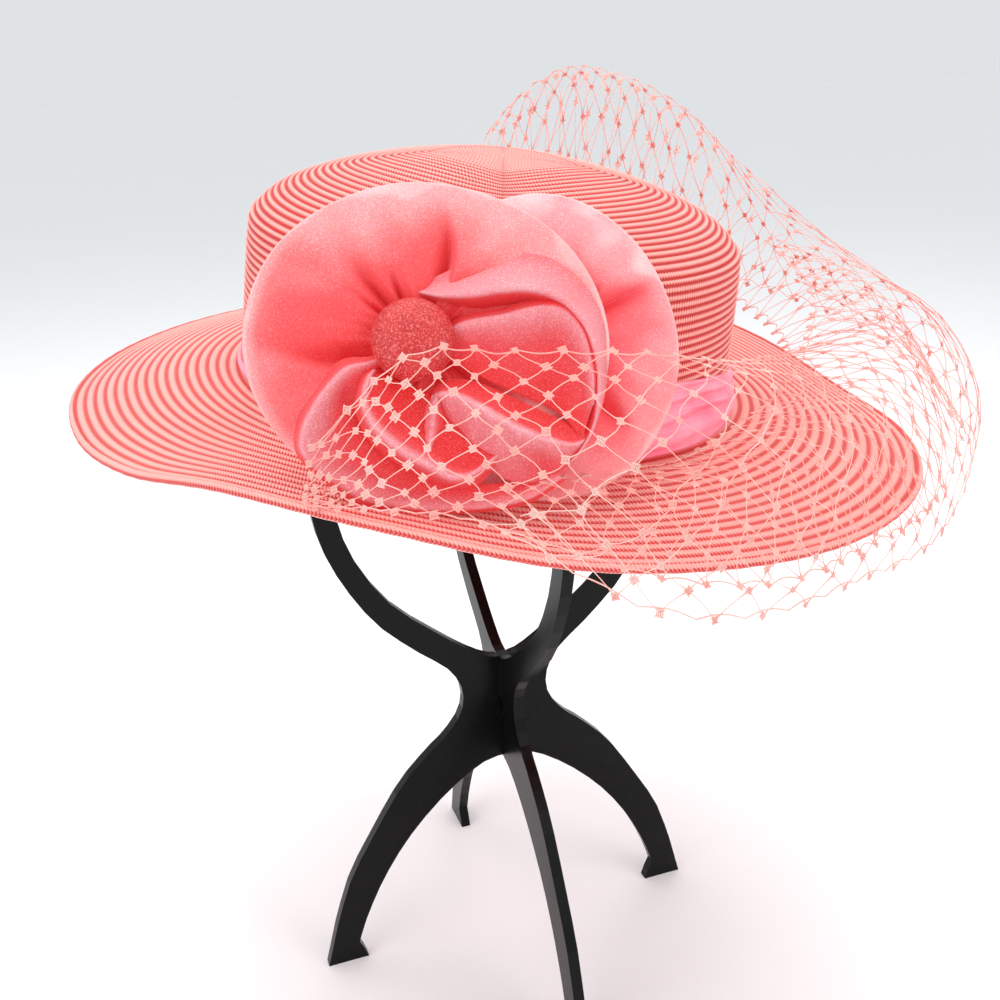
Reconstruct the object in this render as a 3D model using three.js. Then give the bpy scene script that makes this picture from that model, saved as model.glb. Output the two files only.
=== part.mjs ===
// A wide-brimmed straw boater with an organza rosette and a veil, resting on a folding hat stand.
// Millimetres, +Z up. +X runs along the crown's long axis, and the rosette is on the -Y side.
// The hat is modelled about the centre of its crown's base, and the stand about its own axis.

import * as THREE from 'three';
import { mergeVertices } from 'three/addons/utils/BufferGeometryUtils.js';

// Driving dimensions
const GAP = 0.3; // clearance between touching pieces
const HAT = { x: -3.3, y: -2, height: 288, sideLean: 6.8, forwardLean: 6 }; // centre of the crown's base
const CROWN = { halfLength: 100, halfWidth: 90, height: 88.5, wall: 2, taper: 0.05 };
const BRIM = { wall: 2, hem: 3.2, collarHeight: 9, droop: 1.5 };
const BAND = { height: 5, widening: 18, widest: -60, thickness: 3.2, pleats: 3, lift: 2.8 };
const ROSETTE = { x: -24.6, y: -111, z: 49.5, lean: 30 }; // middle of its back, and its backward lean
const HEART = { x: -1, y: -4.5 }; // place of the button and the petals in the rosette's face
const BUTTON = { radius: 14.5, height: 11, lift: 6.9 };
const ORGANZA = 1.2;
const VEIL = { thickness: 1.2, strand: 2.6, columns: 16, rows: 6 };
const STAND = { thickness: 5, turn: 18.9, waist: 125, footReach: 95.5, footLength: 20, tipWidth: 10 };
const AROUND = 56; // segments round the crown and brim

// Crown profile from the top centre down: share of the half sizes, and drop below the top
const CROWN_PROFILE = [
  { share: 0.0, drop: 0 },
  { share: 0.25, drop: 1 },
  { share: 0.47, drop: 3.9 },
  { share: 0.66, drop: 7.6 },
  { share: 0.81, drop: 12.3 },
  { share: 0.91, drop: 17 },
  { share: 0.975, drop: 23 },
  { share: 1.0, drop: 31 },
  { share: 1.0, drop: CROWN.height - GAP },
];

// Brim by azimuth in degrees from +X: width beyond the crown's foot, and rise of the edge over it
const BRIM_EDGE = [
  { azimuth: 0, width: 84.7, rise: -13 },
  { azimuth: 20, width: 84.8, rise: -16 },
  { azimuth: 40, width: 83.6, rise: -9 },
  { azimuth: 60, width: 83.3, rise: -5 },
  { azimuth: 90, width: 83, rise: -12 },
  { azimuth: 120, width: 81, rise: -20 },
  { azimuth: 150, width: 79.5, rise: -24 },
  { azimuth: 180, width: 72.6, rise: -23.8 },
  { azimuth: 200, width: 64.1, rise: -21.7 },
  { azimuth: 220, width: 59.7, rise: -12.6 },
  { azimuth: 240, width: 63, rise: 2.6 },
  { azimuth: 260, width: 69.4, rise: 6.4 },
  { azimuth: 280, width: 73.3, rise: 0.6 },
  { azimuth: 300, width: 74.3, rise: -3.8 },
  { azimuth: 320, width: 76.6, rise: -7.7 },
  { azimuth: 340, width: 81.2, rise: -10 },
];
const BRIM_SHARES = [0, 0.12, 0.3, 0.5, 0.7, 0.88, 0.97, 1];

// The rosette's two discs, drawn in its leaning face: x to the right, y up, z out of the face
const FRONT_DISC = {
  x: 3.5, y: -1, z: 0, halfWidth: 57.5, halfHeight: 51, hole: 9, puff: 9, high: 135, bend: 0,
};
const BACK_DISC = {
  x: 41, y: 3, z: -8.2, halfWidth: 46, halfHeight: 51, hole: 6, puff: 7.5, high: 180, bend: 14,
};

// Creases of a disc by azimuth: share of the puff that each takes away, its width in degrees, and its reach
const FRONT_CREASES = [
  { azimuth: 80, depth: 0.8, width: 7, reach: 0.9 },
  { azimuth: 112, depth: 0.9, width: 8, reach: 0.7 },
  { azimuth: 150, depth: 0.55, width: 8, reach: 0.6 },
  { azimuth: 190, depth: 0.85, width: 9, reach: 1.1 },
  { azimuth: 240, depth: 0.6, width: 14, reach: 0.9 },
  { azimuth: 300, depth: 0.6, width: 14, reach: 0.9 },
  { azimuth: 350, depth: 0.6, width: 14, reach: 0.9 },
];
const BACK_CREASES = [
  { azimuth: 24, depth: 0.9, width: 10, reach: 1.3 },
  { azimuth: 70, depth: 0.5, width: 14, reach: 1 },
  { azimuth: 320, depth: 0.6, width: 16, reach: 1 },
];

// Curled petals over the front disc: each row is a section from the foot (x1, y1, z1) to the free edge
const RIGHT_PETAL = [
  { x1: 10.8, y1: 10.4, z1: 9.6, x2: 6, y2: 16, z2: 12 },
  { x1: 14.1, y1: 5, z1: 9.4, x2: 22, y2: 16, z2: 16 },
  { x1: 15, y1: 0.7, z1: 9, x2: 37, y2: 15, z2: 17 },
  { x1: 14.6, y1: -3.6, z1: 8.6, x2: 50, y2: 8, z2: 15 },
  { x1: 13, y1: -7.5, z1: 8.6, x2: 55, y2: -7, z2: 12 },
  { x1: 11, y1: -10.3, z1: 8.6, x2: 53, y2: -22, z2: 10 },
  { x1: 8.6, y1: -12.3, z1: 8.6, x2: 45, y2: -36, z2: 9 },
];
const LOWER_PETAL = [
  { x1: -13.2, y1: -7.1, z1: 8.6, x2: -36, y2: -27, z2: 7 },
  { x1: -11, y1: -10.2, z1: 8.6, x2: -26, y2: -37, z2: 8 },
  { x1: -6.1, y1: -13.7, z1: 8.6, x2: -8, y2: -44, z2: 9 },
  { x1: 0, y1: -15, z1: 8.6, x2: 12, y2: -45, z2: 9 },
  { x1: 5.6, y1: -13.9, z1: 8.6, x2: 30, y2: -42, z2: 9 },
];
const CUP_PETAL = [
  { x1: -13, y1: -14, z1: 11.2, x2: -16, y2: -11, z2: 14 },
  { x1: -11, y1: -22, z1: 11.2, x2: -15, y2: -24, z2: 15.5 },
  { x1: -8, y1: -27, z1: 11.2, x2: -12, y2: -32, z2: 16 },
  { x1: -3, y1: -31, z1: 11.2, x2: -5, y2: -37, z2: 16 },
  { x1: 5, y1: -33, z1: 11.2, x2: 6, y2: -40, z2: 16 },
  { x1: 13, y1: -34, z1: 11.2, x2: 16, y2: -41, z2: 16 },
  { x1: 17, y1: -32, z1: 11.2, x2: 22, y2: -38, z2: 15 },
  { x1: 17, y1: -28, z1: 11.2, x2: 22, y2: -32, z2: 14 },
];

// Veil by azimuth: five points (radius, height over the crown's base) from its upper edge to its lower one
const VEIL_SECTIONS = [
  { azimuth: -110, r1: 152, z1: 20, r2: 153, z2: 16, r3: 154, z3: 12, r4: 155, z4: 9, r5: 156, z5: 7 },
  { azimuth: -100, r1: 144, z1: 52, r2: 150, z2: 43, r3: 157, z3: 32, r4: 163, z4: 23, r5: 168, z5: 17 },
  { azimuth: -89, r1: 138, z1: 57, r2: 150, z2: 49, r3: 159, z3: 38, r4: 166, z4: 26, r5: 172, z5: 17 },
  { azimuth: -75, r1: 136, z1: 57, r2: 151, z2: 50, r3: 165, z3: 38, r4: 177, z4: 18, r5: 186, z5: 1 },
  { azimuth: -60, r1: 128, z1: 52, r2: 148, z2: 50, r3: 166, z3: 34, r4: 178, z4: 10, r5: 182, z5: -12 },
  { azimuth: -43, r1: 121, z1: 43, r2: 143, z2: 46, r3: 163, z3: 32, r4: 176, z4: 6, r5: 180, z5: -16 },
  { azimuth: -22, r1: 119, z1: 33, r2: 147, z2: 45, r3: 171, z3: 33, r4: 188, z4: 6, r5: 192, z5: -20 },
  { azimuth: 0, r1: 118, z1: 27, r2: 147, z2: 48, r3: 179, z3: 42, r4: 205, z4: 16, r5: 210, z5: -9 },
  { azimuth: 20, r1: 113, z1: 30, r2: 140, z2: 58, r3: 174, z3: 46, r4: 206, z4: 28, r5: 212, z5: 3 },
  { azimuth: 34, r1: 108, z1: 36, r2: 130, z2: 78, r3: 152, z3: 66, r4: 178, z4: 44, r5: 186, z5: 14 },
  { azimuth: 50, r1: 105, z1: 44, r2: 122, z2: 96, r3: 144, z3: 88, r4: 164, z4: 52, r5: 168, z5: 20 },
  { azimuth: 72, r1: 102, z1: 50, r2: 113, z2: 108, r3: 132, z3: 106, r4: 150, z4: 66, r5: 154, z5: 26 },
  { azimuth: 90, r1: 99, z1: 50, r2: 106, z2: 86, r3: 118, z3: 82, r4: 132, z4: 54, r5: 134, z5: 24 },
  { azimuth: 104, r1: 99, z1: 30, r2: 103, z2: 42, r3: 110, z3: 40, r4: 118, z4: 30, r5: 120, z5: 18 },
];

// Half outline of a stand plate: outer side from foot to arm, the bowl over the hub, the arch under it
const PLATE_SIDE = [
  { reach: 89.6, height: 22 },
  { reach: 81, height: 47 },
  { reach: 67.9, height: 70 },
  { reach: 53.4, height: 92.5 },
  { reach: 39.6, height: 107 },
  { reach: 29.3, height: 116 },
  { reach: 21.8, height: 127 },
  { reach: 21.2, height: 139 },
  { reach: 27.5, height: 150.5 },
  { reach: 41, height: 162 },
  { reach: 58.3, height: 179 },
  { reach: 71.5, height: 200 },
  { reach: 80, height: 221 },
  { reach: 83.5, height: 244 },
  { reach: 82, height: 268 },
  { reach: 77.5, height: 296 },
  { reach: 72.5, height: 322 },
];
const PLATE_BOWL = [
  { reach: 0, height: 151.5 },
  { reach: 7, height: 152.6 },
  { reach: 17.6, height: 158.8 },
  { reach: 32.8, height: 170.8 },
  { reach: 51.7, height: 188 },
  { reach: 66, height: 211 },
  { reach: 72.5, height: 233 },
  { reach: 73.2, height: 252 },
  { reach: 71, height: 274 },
  { reach: 66.5, height: 298 },
  { reach: 62.5, height: 322 },
];
const PLATE_ARCH = [
  { reach: 0, height: 98.5 },
  { reach: 13.8, height: 95.5 },
  { reach: 32, height: 83 },
  { reach: 50, height: 65 },
  { reach: 64, height: 45 },
  { reach: 74, height: 25 },
  { reach: 79.5, height: 10 },
];
const FOOT_NOTCH = { reach: 77, height: 4.5 };
const ARM_TIP_REACH = 65;

// Materials
const material = (colour, roughness, metalness = 0) =>
  new THREE.MeshStandardMaterial({ color: colour, roughness, metalness });
const STRAW = material(0xf4837c, 0.6);
const SASH = material(0xee6e8a, 0.55);
const SHEER = material(0xf0606c, 0.5);
const BUTTON_CLOTH = material(0xc93a48, 0.5);
const NETTING = material(0xfaa79c, 0.5);
const BLACK_PLASTIC = material(0x16181a, 0.35);

const radians = THREE.MathUtils.degToRad;
const lerp = THREE.MathUtils.lerp;

// Smooth value of a table's column at a key, through its rows in order; a loop table repeats after 360
function tableValue(table, key, column, at, loop = false) {
  const rows = table.map((row) => ({ key: row[key], value: row[column] }));
  if (loop) {
    const last = rows.length - 1;
    rows.unshift({ key: rows[last].key - 360, value: rows[last].value });
    rows.push({ key: rows[1].key + 360, value: rows[1].value });
    rows.push({ key: rows[2].key + 360, value: rows[2].value });
  }
  const first = rows[0].key;
  let place = at;
  if (loop) while (place < first) place += 360;
  let i = 0;
  while (i < rows.length - 2 && rows[i + 1].key < place) i += 1;
  const before = rows[Math.max(i - 1, 0)];
  const start = rows[i];
  const end = rows[i + 1];
  const after = rows[Math.min(i + 2, rows.length - 1)];
  const span = end.key - start.key;
  const share = THREE.MathUtils.clamp((place - start.key) / span, 0, 1);
  const startSlope = ((end.value - before.value) / (end.key - before.key || 1)) * span;
  const endSlope = ((after.value - start.value) / (after.key - start.key || 1)) * span;
  const s2 = share * share;
  const s3 = s2 * share;
  return (
    (2 * s3 - 3 * s2 + 1) * start.value +
    (s3 - 2 * s2 + share) * startSlope +
    (3 * s2 - 2 * s3) * end.value +
    (s3 - s2) * endSlope
  );
}

// Closed geometry from a list of triangles: merges their corners, drops the collapsed ones, faces them out
function closedGeometry(triangles) {
  const loose = new THREE.BufferGeometry();
  const numbers = triangles.flatMap((triangle) => triangle.flatMap((point) => point.toArray()));
  loose.setAttribute('position', new THREE.Float32BufferAttribute(numbers, 3));
  const merged = mergeVertices(loose, 1e-3);
  const index = merged.getIndex().array;
  const position = merged.getAttribute('position');
  const corner = (i) => new THREE.Vector3().fromBufferAttribute(position, i);
  const kept = [];
  let volume = 0;
  for (let i = 0; i < index.length; i += 3) {
    const [a, b, c] = [index[i], index[i + 1], index[i + 2]];
    if (a === b || b === c || a === c) continue;
    kept.push(a, b, c);
    volume += corner(a).dot(corner(b).cross(corner(c)));
  }
  if (volume < 0) kept.reverse();
  merged.setIndex(kept);
  merged.computeVertexNormals();
  return merged;
}

// A wall between two grids of points, upper[i][j] and lower[i][j]; wrap joins the last column to the first
function wallGeometry(upper, lower, wrap) {
  const triangles = [];
  const quad = (a, b, c, d) => triangles.push([a, b, c], [a, c, d]);
  const columns = upper.length;
  const rows = upper[0].length;
  const steps = wrap ? columns : columns - 1;
  for (let i = 0; i < steps; i += 1) {
    const n = (i + 1) % columns;
    for (let j = 0; j < rows - 1; j += 1) {
      quad(upper[i][j], upper[n][j], upper[n][j + 1], upper[i][j + 1]);
      quad(lower[i][j + 1], lower[n][j + 1], lower[n][j], lower[i][j]);
    }
    quad(lower[i][0], lower[n][0], upper[n][0], upper[i][0]);
    quad(upper[i][rows - 1], upper[n][rows - 1], lower[n][rows - 1], lower[i][rows - 1]);
  }
  if (!wrap) {
    const last = columns - 1;
    for (let j = 0; j < rows - 1; j += 1) {
      quad(upper[0][j], upper[0][j + 1], lower[0][j + 1], lower[0][j]);
      quad(lower[last][j], lower[last][j + 1], upper[last][j + 1], upper[last][j]);
    }
  }
  return closedGeometry(triangles);
}

// Both faces of a curved sheet from its middle surface, at grid places u and v from 0 to 1
function sheetGeometry(surface, columns, rows, thickness, wrap) {
  const faces = [thickness / 2, -thickness / 2].map((offset) =>
    Array.from({ length: wrap ? columns : columns + 1 }, (_, i) =>
      Array.from({ length: rows + 1 }, (_, j) => surface(i / columns, j / rows, offset))));
  return wallGeometry(faces[0], faces[1], wrap);
}

// A point of the crown's oval, with its half sizes shrunk by an inset and tapered with height
function ovalPoint(azimuth, share, inset, height) {
  const taper = 1 - (CROWN.taper * Math.max(height, 0)) / CROWN.height;
  const x = (CROWN.halfLength * taper - inset) * share * Math.cos(azimuth);
  const y = (CROWN.halfWidth * taper - inset) * share * Math.sin(azimuth);
  return new THREE.Vector3(x, y, height);
}

const ringAngles = Array.from({ length: AROUND }, (_, i) => (i / AROUND) * 2 * Math.PI);

function crownGeometry() {
  const last = CROWN_PROFILE.length - 1;
  const outer = ringAngles.map((a) =>
    CROWN_PROFILE.map((p) => ovalPoint(a, p.share, 0, CROWN.height - p.drop)));
  const inner = ringAngles.map((a) =>
    CROWN_PROFILE.map((p, k) => {
      const below = k === last ? 0 : CROWN.wall;
      return ovalPoint(a, p.share, CROWN.wall, CROWN.height - p.drop - below);
    }));
  return wallGeometry(outer, inner, true);
}

// Point on the brim's upper face at an azimuth and a share of the way from the crown's foot to the edge
function brimPoint(azimuth, share) {
  const degrees = THREE.MathUtils.euclideanModulo(THREE.MathUtils.radToDeg(azimuth), 360);
  const width = tableValue(BRIM_EDGE, 'azimuth', 'width', degrees, true);
  const rise = tableValue(BRIM_EDGE, 'azimuth', 'rise', degrees, true);
  const foot = ovalPoint(azimuth, 1, CROWN.wall + GAP, 0);
  const edge = ovalPoint(azimuth, 1, -width, 0);
  const point = foot.lerp(edge, share);
  point.z = rise * Math.pow(share, BRIM.droop);
  return point;
}

function brimGeometry() {
  const collarInset = CROWN.wall + GAP;
  const upper = ringAngles.map((a) => [
    ovalPoint(a, 1, collarInset, BRIM.collarHeight),
    ...BRIM_SHARES.map((share) => brimPoint(a, share)),
  ]);
  const lower = ringAngles.map((a) => [
    ovalPoint(a, 1, collarInset + BRIM.wall, BRIM.collarHeight),
    ...BRIM_SHARES.map((share, k) => {
      const point = k === 0 ? ovalPoint(a, 1, collarInset + BRIM.wall, 0) : brimPoint(a, share);
      point.z -= share > 0.95 ? BRIM.hem : BRIM.wall;
      return point;
    }),
  ]);
  return wallGeometry(upper, lower, true);
}

// Draped sash round the crown's foot: its pleats run round it as shallow waves, and it widens by the rosette
function bandGeometry() {
  const rows = 2 * BAND.pleats + 1;
  const point = (azimuth, row, outward) => {
    const share = row / (rows - 1);
    const near = Math.cos((azimuth - radians(BAND.widest)) / 2);
    const height = BAND.height + BAND.widening * Math.pow(near, 4) + 1.5 * Math.sin(azimuth * 2 + 0.6);
    const pleat = 0.5 - 0.5 * Math.cos(row * Math.PI);
    const swell = 1.2 * Math.sin(share * Math.PI);
    const thickness = outward * (BAND.thickness * (0.55 + 0.45 * pleat) + swell);
    return ovalPoint(azimuth, 1, -GAP - thickness, BAND.lift + share * height);
  };
  const list = Array.from({ length: rows }, (_, row) => row);
  const outer = ringAngles.map((a) => list.map((row) => point(a, row, 1)));
  const inner = ringAngles.map((a) => list.map((row) => point(a, row, 0)));
  return wallGeometry(outer, inner, true);
}

// Height of an organza disc's middle surface off its own plane: a ring-shaped puff that its creases pull flat
function discRelief(disc, creases, degrees, share) {
  const swell = Math.sin(Math.PI * (0.12 + 0.83 * share));
  const side = 0.7 + 0.3 * Math.cos(radians(degrees - disc.high));
  const pulled = creases.reduce((left, crease) => {
    const away = THREE.MathUtils.euclideanModulo(degrees - crease.azimuth + 180, 360) - 180;
    const fade = THREE.MathUtils.smoothstep(crease.reach - share, 0, 0.45);
    return left * (1 - crease.depth * fade * Math.exp(-Math.pow(away / crease.width, 2)));
  }, 1);
  return disc.puff * swell * side * pulled;
}

function discGeometry(disc, creases) {
  const surface = (u, v, offset) => {
    const azimuth = u * 2 * Math.PI;
    const x = lerp(disc.hole, disc.halfWidth, v) * Math.cos(azimuth);
    const y = lerp(disc.hole, disc.halfHeight, v) * Math.sin(azimuth);
    const bend = x > 0 ? disc.bend * Math.pow(x / disc.halfWidth, 2) : 0;
    return new THREE.Vector3(x, y, discRelief(disc, creases, u * 360, v) - bend + offset);
  };
  return sheetGeometry(surface, 40, 5, ORGANZA, true);
}

// A curled petal between the foot and the free edge that its table gives, with a slight belly
function petalGeometry(table, belly) {
  const rows = table.map((row, i) => ({ ...row, place: i / (table.length - 1) }));
  const surface = (u, v, offset) => {
    const foot = ['x1', 'y1', 'z1'].map((column) => tableValue(rows, 'place', column, u));
    const edge = ['x2', 'y2', 'z2'].map((column) => tableValue(rows, 'place', column, u));
    const point = new THREE.Vector3(...foot).lerp(new THREE.Vector3(...edge), v);
    point.z += belly * Math.sin(v * Math.PI) + offset;
    return point;
  };
  return sheetGeometry(surface, 14, 3, ORGANZA, false);
}

// A covered button: flat foot, short side, domed top
function buttonGeometry() {
  const side = BUTTON.height * 0.35;
  const dome = new THREE.EllipseCurve(0, side, BUTTON.radius, BUTTON.height - side, 0, Math.PI / 2);
  const profile = [new THREE.Vector2(0, 0), new THREE.Vector2(BUTTON.radius * 0.92, 0), ...dome.getPoints(6)];
  profile[profile.length - 1].x = 0;
  const lathe = new THREE.LatheGeometry(profile, 24);
  lathe.rotateX(Math.PI / 2);
  const corners = lathe.toNonIndexed().getAttribute('position');
  const corner = (i) => new THREE.Vector3().fromBufferAttribute(corners, i);
  const starts = Array.from({ length: corners.count / 3 }, (_, t) => 3 * t);
  return closedGeometry(starts.map((i) => [corner(i), corner(i + 1), corner(i + 2)]));
}

// Middle surface of the veil at u along it, from the gather in front to its end behind, and v down it
function veilPoint(u, v) {
  const degrees = lerp(VEIL_SECTIONS[0].azimuth, VEIL_SECTIONS[VEIL_SECTIONS.length - 1].azimuth, u);
  const across = [1, 2, 3, 4, 5].map((k) => ({
    place: (k - 1) / 4,
    radius: tableValue(VEIL_SECTIONS, 'azimuth', `r${k}`, degrees),
    height: tableValue(VEIL_SECTIONS, 'azimuth', `z${k}`, degrees),
  }));
  const radius = tableValue(across, 'place', 'radius', v);
  const height = tableValue(across, 'place', 'height', v);
  return new THREE.Vector3(radius * Math.cos(radians(degrees)), radius * Math.sin(radians(degrees)), height);
}

function veilNormal(u, v) {
  const step = 0.01;
  const along = veilPoint(Math.min(u + step, 1), v).sub(veilPoint(Math.max(u - step, 0), v));
  const down = veilPoint(u, Math.min(v + step, 1)).sub(veilPoint(u, Math.max(v - step, 0)));
  return along.cross(down).normalize();
}

// A coarse diamond net: staggered knots joined by strands, with every diamond and edge triangle cut through
function veilGeometry() {
  const { columns, rows, strand, thickness } = VEIL;
  const triangles = [];
  const knot = ([column, row]) => {
    const middle = veilPoint(column / columns, row / rows);
    const offset = veilNormal(column / columns, row / rows).multiplyScalar(thickness / 2);
    return { front: middle.clone().add(offset), back: middle.clone().sub(offset) };
  };
  // One opening in its frame of strands; a rim side closes the sheet's own edge
  const addCell = (places, rimSide = -1) => {
    const knots = places.map(knot);
    const cut = (face) => {
      const centre = new THREE.Vector3();
      knots.forEach((k) => centre.addScaledVector(k[face], 1 / knots.length));
      return knots.map((k) => {
        const spoke = centre.clone().sub(k[face]);
        const inset = Math.min(strand * 0.8, spoke.length() * 0.5);
        return k[face].clone().add(spoke.setLength(inset));
      });
    };
    const front = cut('front');
    const back = cut('back');
    knots.forEach((k, i) => {
      const n = (i + 1) % knots.length;
      triangles.push([k.front, knots[n].front, front[n]], [k.front, front[n], front[i]]);
      triangles.push([k.back, back[n], knots[n].back], [k.back, back[i], back[n]]);
      triangles.push([front[i], front[n], back[n]], [front[i], back[n], back[i]]);
      if (i === rimSide) {
        triangles.push([k.front, k.back, knots[n].back], [k.front, knots[n].back, knots[n].front]);
      }
    });
  };
  for (let c = 0.5; c < columns; c += 1) {
    addCell([[c - 0.5, 0], [c, 1], [c + 0.5, 0]], 2);
    addCell([[c - 0.5, rows], [c + 0.5, rows], [c, rows - 1]], 0);
  }
  for (let row = 1; row < rows; row += 1) {
    for (let c = row % 2 ? 1 : 0.5; c < columns; c += 1) {
      addCell([[c - 0.5, row], [c, row + 1], [c + 0.5, row], [c, row - 1]]);
    }
    if (row % 2) {
      addCell([[0, row - 1], [0, row + 1], [0.5, row]], 0);
      addCell([[columns, row - 1], [columns - 0.5, row], [columns, row + 1]], 2);
    }
  }
  return closedGeometry(triangles);
}

// Smooth 2D line through a table of reach and height
function outlineCurve(table, points) {
  return new THREE.SplineCurve(table.map((p) => new THREE.Vector2(p.reach, p.height))).getPoints(points);
}

// One half of a stand plate from the axis: arch, foot, outer side, the arm's round tip and the bowl
function plateHalf(tipHeight) {
  const half = STAND.tipWidth / 2;
  const tip = new THREE.EllipseCurve(ARM_TIP_REACH, tipHeight - half, half, half, 0, Math.PI);
  return [
    ...outlineCurve(PLATE_ARCH, 14),
    new THREE.Vector2(FOOT_NOTCH.reach, FOOT_NOTCH.height),
    new THREE.Vector2(STAND.footReach - STAND.footLength, 0),
    new THREE.Vector2(STAND.footReach, 0),
    ...outlineCurve(PLATE_SIDE, 34),
    ...tip.getPoints(6),
    ...outlineCurve(PLATE_BOWL, 20).reverse(),
  ];
}

// A plate's whole outline, with the slot that takes the other plate opening upwards or downwards
function plateShape(slotUp, tipHeights) {
  const slotHalf = STAND.thickness / 2 + GAP;
  const slotEnd = STAND.waist + (slotUp ? -GAP / 2 : GAP / 2);
  const right = plateHalf(tipHeights[0]).filter((p) => p.x > slotHalf);
  const left = plateHalf(tipHeights[1]).filter((p) => p.x > slotHalf).reverse();
  left.forEach((p) => p.set(-p.x, p.y));
  const mouth = slotUp ? PLATE_BOWL[0].height : PLATE_ARCH[0].height;
  const slot = [-slotHalf, -slotHalf, slotHalf, slotHalf].map((x, i) =>
    new THREE.Vector2(x, i === 0 || i === 3 ? mouth : slotEnd));
  const outline = slotUp ? [...right, ...slot.reverse(), ...left] : [...right, ...left, ...slot];
  return new THREE.Shape(outline);
}

function plateGeometry(slotUp, tipHeights) {
  const options = { depth: STAND.thickness, bevelEnabled: false };
  const plate = new THREE.ExtrudeGeometry(plateShape(slotUp, tipHeights), options);
  plate.translate(0, 0, -STAND.thickness / 2);
  plate.rotateX(Math.PI / 2);
  return plate;
}

function named(name, geometry, finish) {
  const mesh = new THREE.Mesh(geometry, finish);
  mesh.name = name;
  return mesh;
}

// Free distance from a piece's points down to the piece under it; less than nothing where they overlap
function clearance(piece, under, down) {
  const position = piece.geometry.getAttribute('position');
  const caster = new THREE.Raycaster();
  const start = 40;
  let nearest = Infinity;
  for (let i = 0; i < position.count; i += 1) {
    const point = new THREE.Vector3().fromBufferAttribute(position, i).applyMatrix4(piece.matrixWorld);
    caster.set(point.addScaledVector(down, -start), down);
    const [hit] = caster.intersectObject(under);
    if (hit) nearest = Math.min(nearest, hit.distance - start);
  }
  return nearest;
}

// Height of an arm's tip, at an azimuth from the stand's side plate, that seats the crown from inside
function tipHeight(azimuth, crown) {
  const turned = radians(STAND.turn + azimuth);
  const start = 300;
  const half = STAND.tipWidth / 2;
  const caster = new THREE.Raycaster();
  const rises = [-half, -half / 2, 0, half / 2, half].flatMap((out) =>
    [-STAND.thickness / 2, STAND.thickness / 2].map((aside) => {
      const reach = ARM_TIP_REACH + out;
      const foot = new THREE.Vector3(
        reach * Math.cos(turned) - aside * Math.sin(turned),
        reach * Math.sin(turned) + aside * Math.cos(turned),
        start,
      );
      caster.set(foot, new THREE.Vector3(0, 0, 1));
      const round = half - Math.sqrt(half * half - out * out);
      return start + caster.intersectObject(crown)[0].distance + round;
    }));
  return Math.min(...rises) - GAP;
}

// Hat
const hat = new THREE.Group();
hat.position.set(HAT.x, HAT.y, HAT.height);
hat.rotation.set(radians(HAT.forwardLean), radians(HAT.sideLean), 0, 'YXZ');
const crown = named('crown', crownGeometry(), STRAW);
const brim = named('brim', brimGeometry(), STRAW);
const band = named('band', bandGeometry(), SASH);
const veil = named('veil', veilGeometry(), NETTING);

const rosette = new THREE.Group();
rosette.position.set(ROSETTE.x, ROSETTE.y, ROSETTE.z);
rosette.rotation.x = Math.PI / 2 - radians(ROSETTE.lean);
const frontDisc = named('rosette_front_disc', discGeometry(FRONT_DISC, FRONT_CREASES), SHEER);
frontDisc.position.set(FRONT_DISC.x, FRONT_DISC.y, FRONT_DISC.z);
const backDisc = named('rosette_back_disc', discGeometry(BACK_DISC, BACK_CREASES), SHEER);
backDisc.position.set(BACK_DISC.x, BACK_DISC.y, BACK_DISC.z);
const rightPetal = named('rosette_right_petal', petalGeometry(RIGHT_PETAL, 1.5), SHEER);
const lowerPetal = named('rosette_lower_petal', petalGeometry(LOWER_PETAL, 0.5), SHEER);
const cupPetal = named('rosette_cup_petal', petalGeometry(CUP_PETAL, 0), SHEER);
const button = named('rosette_button', buttonGeometry(), BUTTON_CLOTH);
button.position.z = BUTTON.lift;
const heart = new THREE.Group();
heart.position.set(HEART.x, HEART.y, 0);
heart.add(rightPetal, lowerPetal, cupPetal, button);
rosette.add(frontDisc, backDisc, heart);
hat.add(crown, brim, band, veil, rosette);
hat.updateMatrixWorld(true);

// The rosette and the veil are let down onto the brim
const down = new THREE.Vector3(0, 0, -1).applyQuaternion(hat.quaternion);
rosette.position.z -= Math.min(clearance(frontDisc, brim, down), clearance(backDisc, brim, down)) - GAP;
veil.position.z -= clearance(veil, brim, down) - GAP;

// Stand: two plates that slot into each other at the waist, with the crown seated on their four tips
const stand = new THREE.Group();
stand.rotation.z = radians(STAND.turn);
const tips = [0, 90, 180, 270].map((azimuth) => tipHeight(azimuth, crown));
const sidePlate = named('stand_side_plate', plateGeometry(true, [tips[0], tips[2]]), BLACK_PLASTIC);
const frontPlate = named('stand_front_plate', plateGeometry(false, [tips[1], tips[3]]), BLACK_PLASTIC);
frontPlate.rotation.z = Math.PI / 2;
stand.add(sidePlate, frontPlate);

const boater = new THREE.Group();
boater.add(stand, hat);

// The origin is on the floor, under the middle of the whole thing
const middle = new THREE.Box3().setFromObject(boater, true).getCenter(new THREE.Vector3());
boater.position.set(-middle.x, -middle.y, 0);

export default boater;
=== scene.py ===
import math

import bmesh
import bpy
import numpy as np
from mathutils import Matrix, Vector


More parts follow.
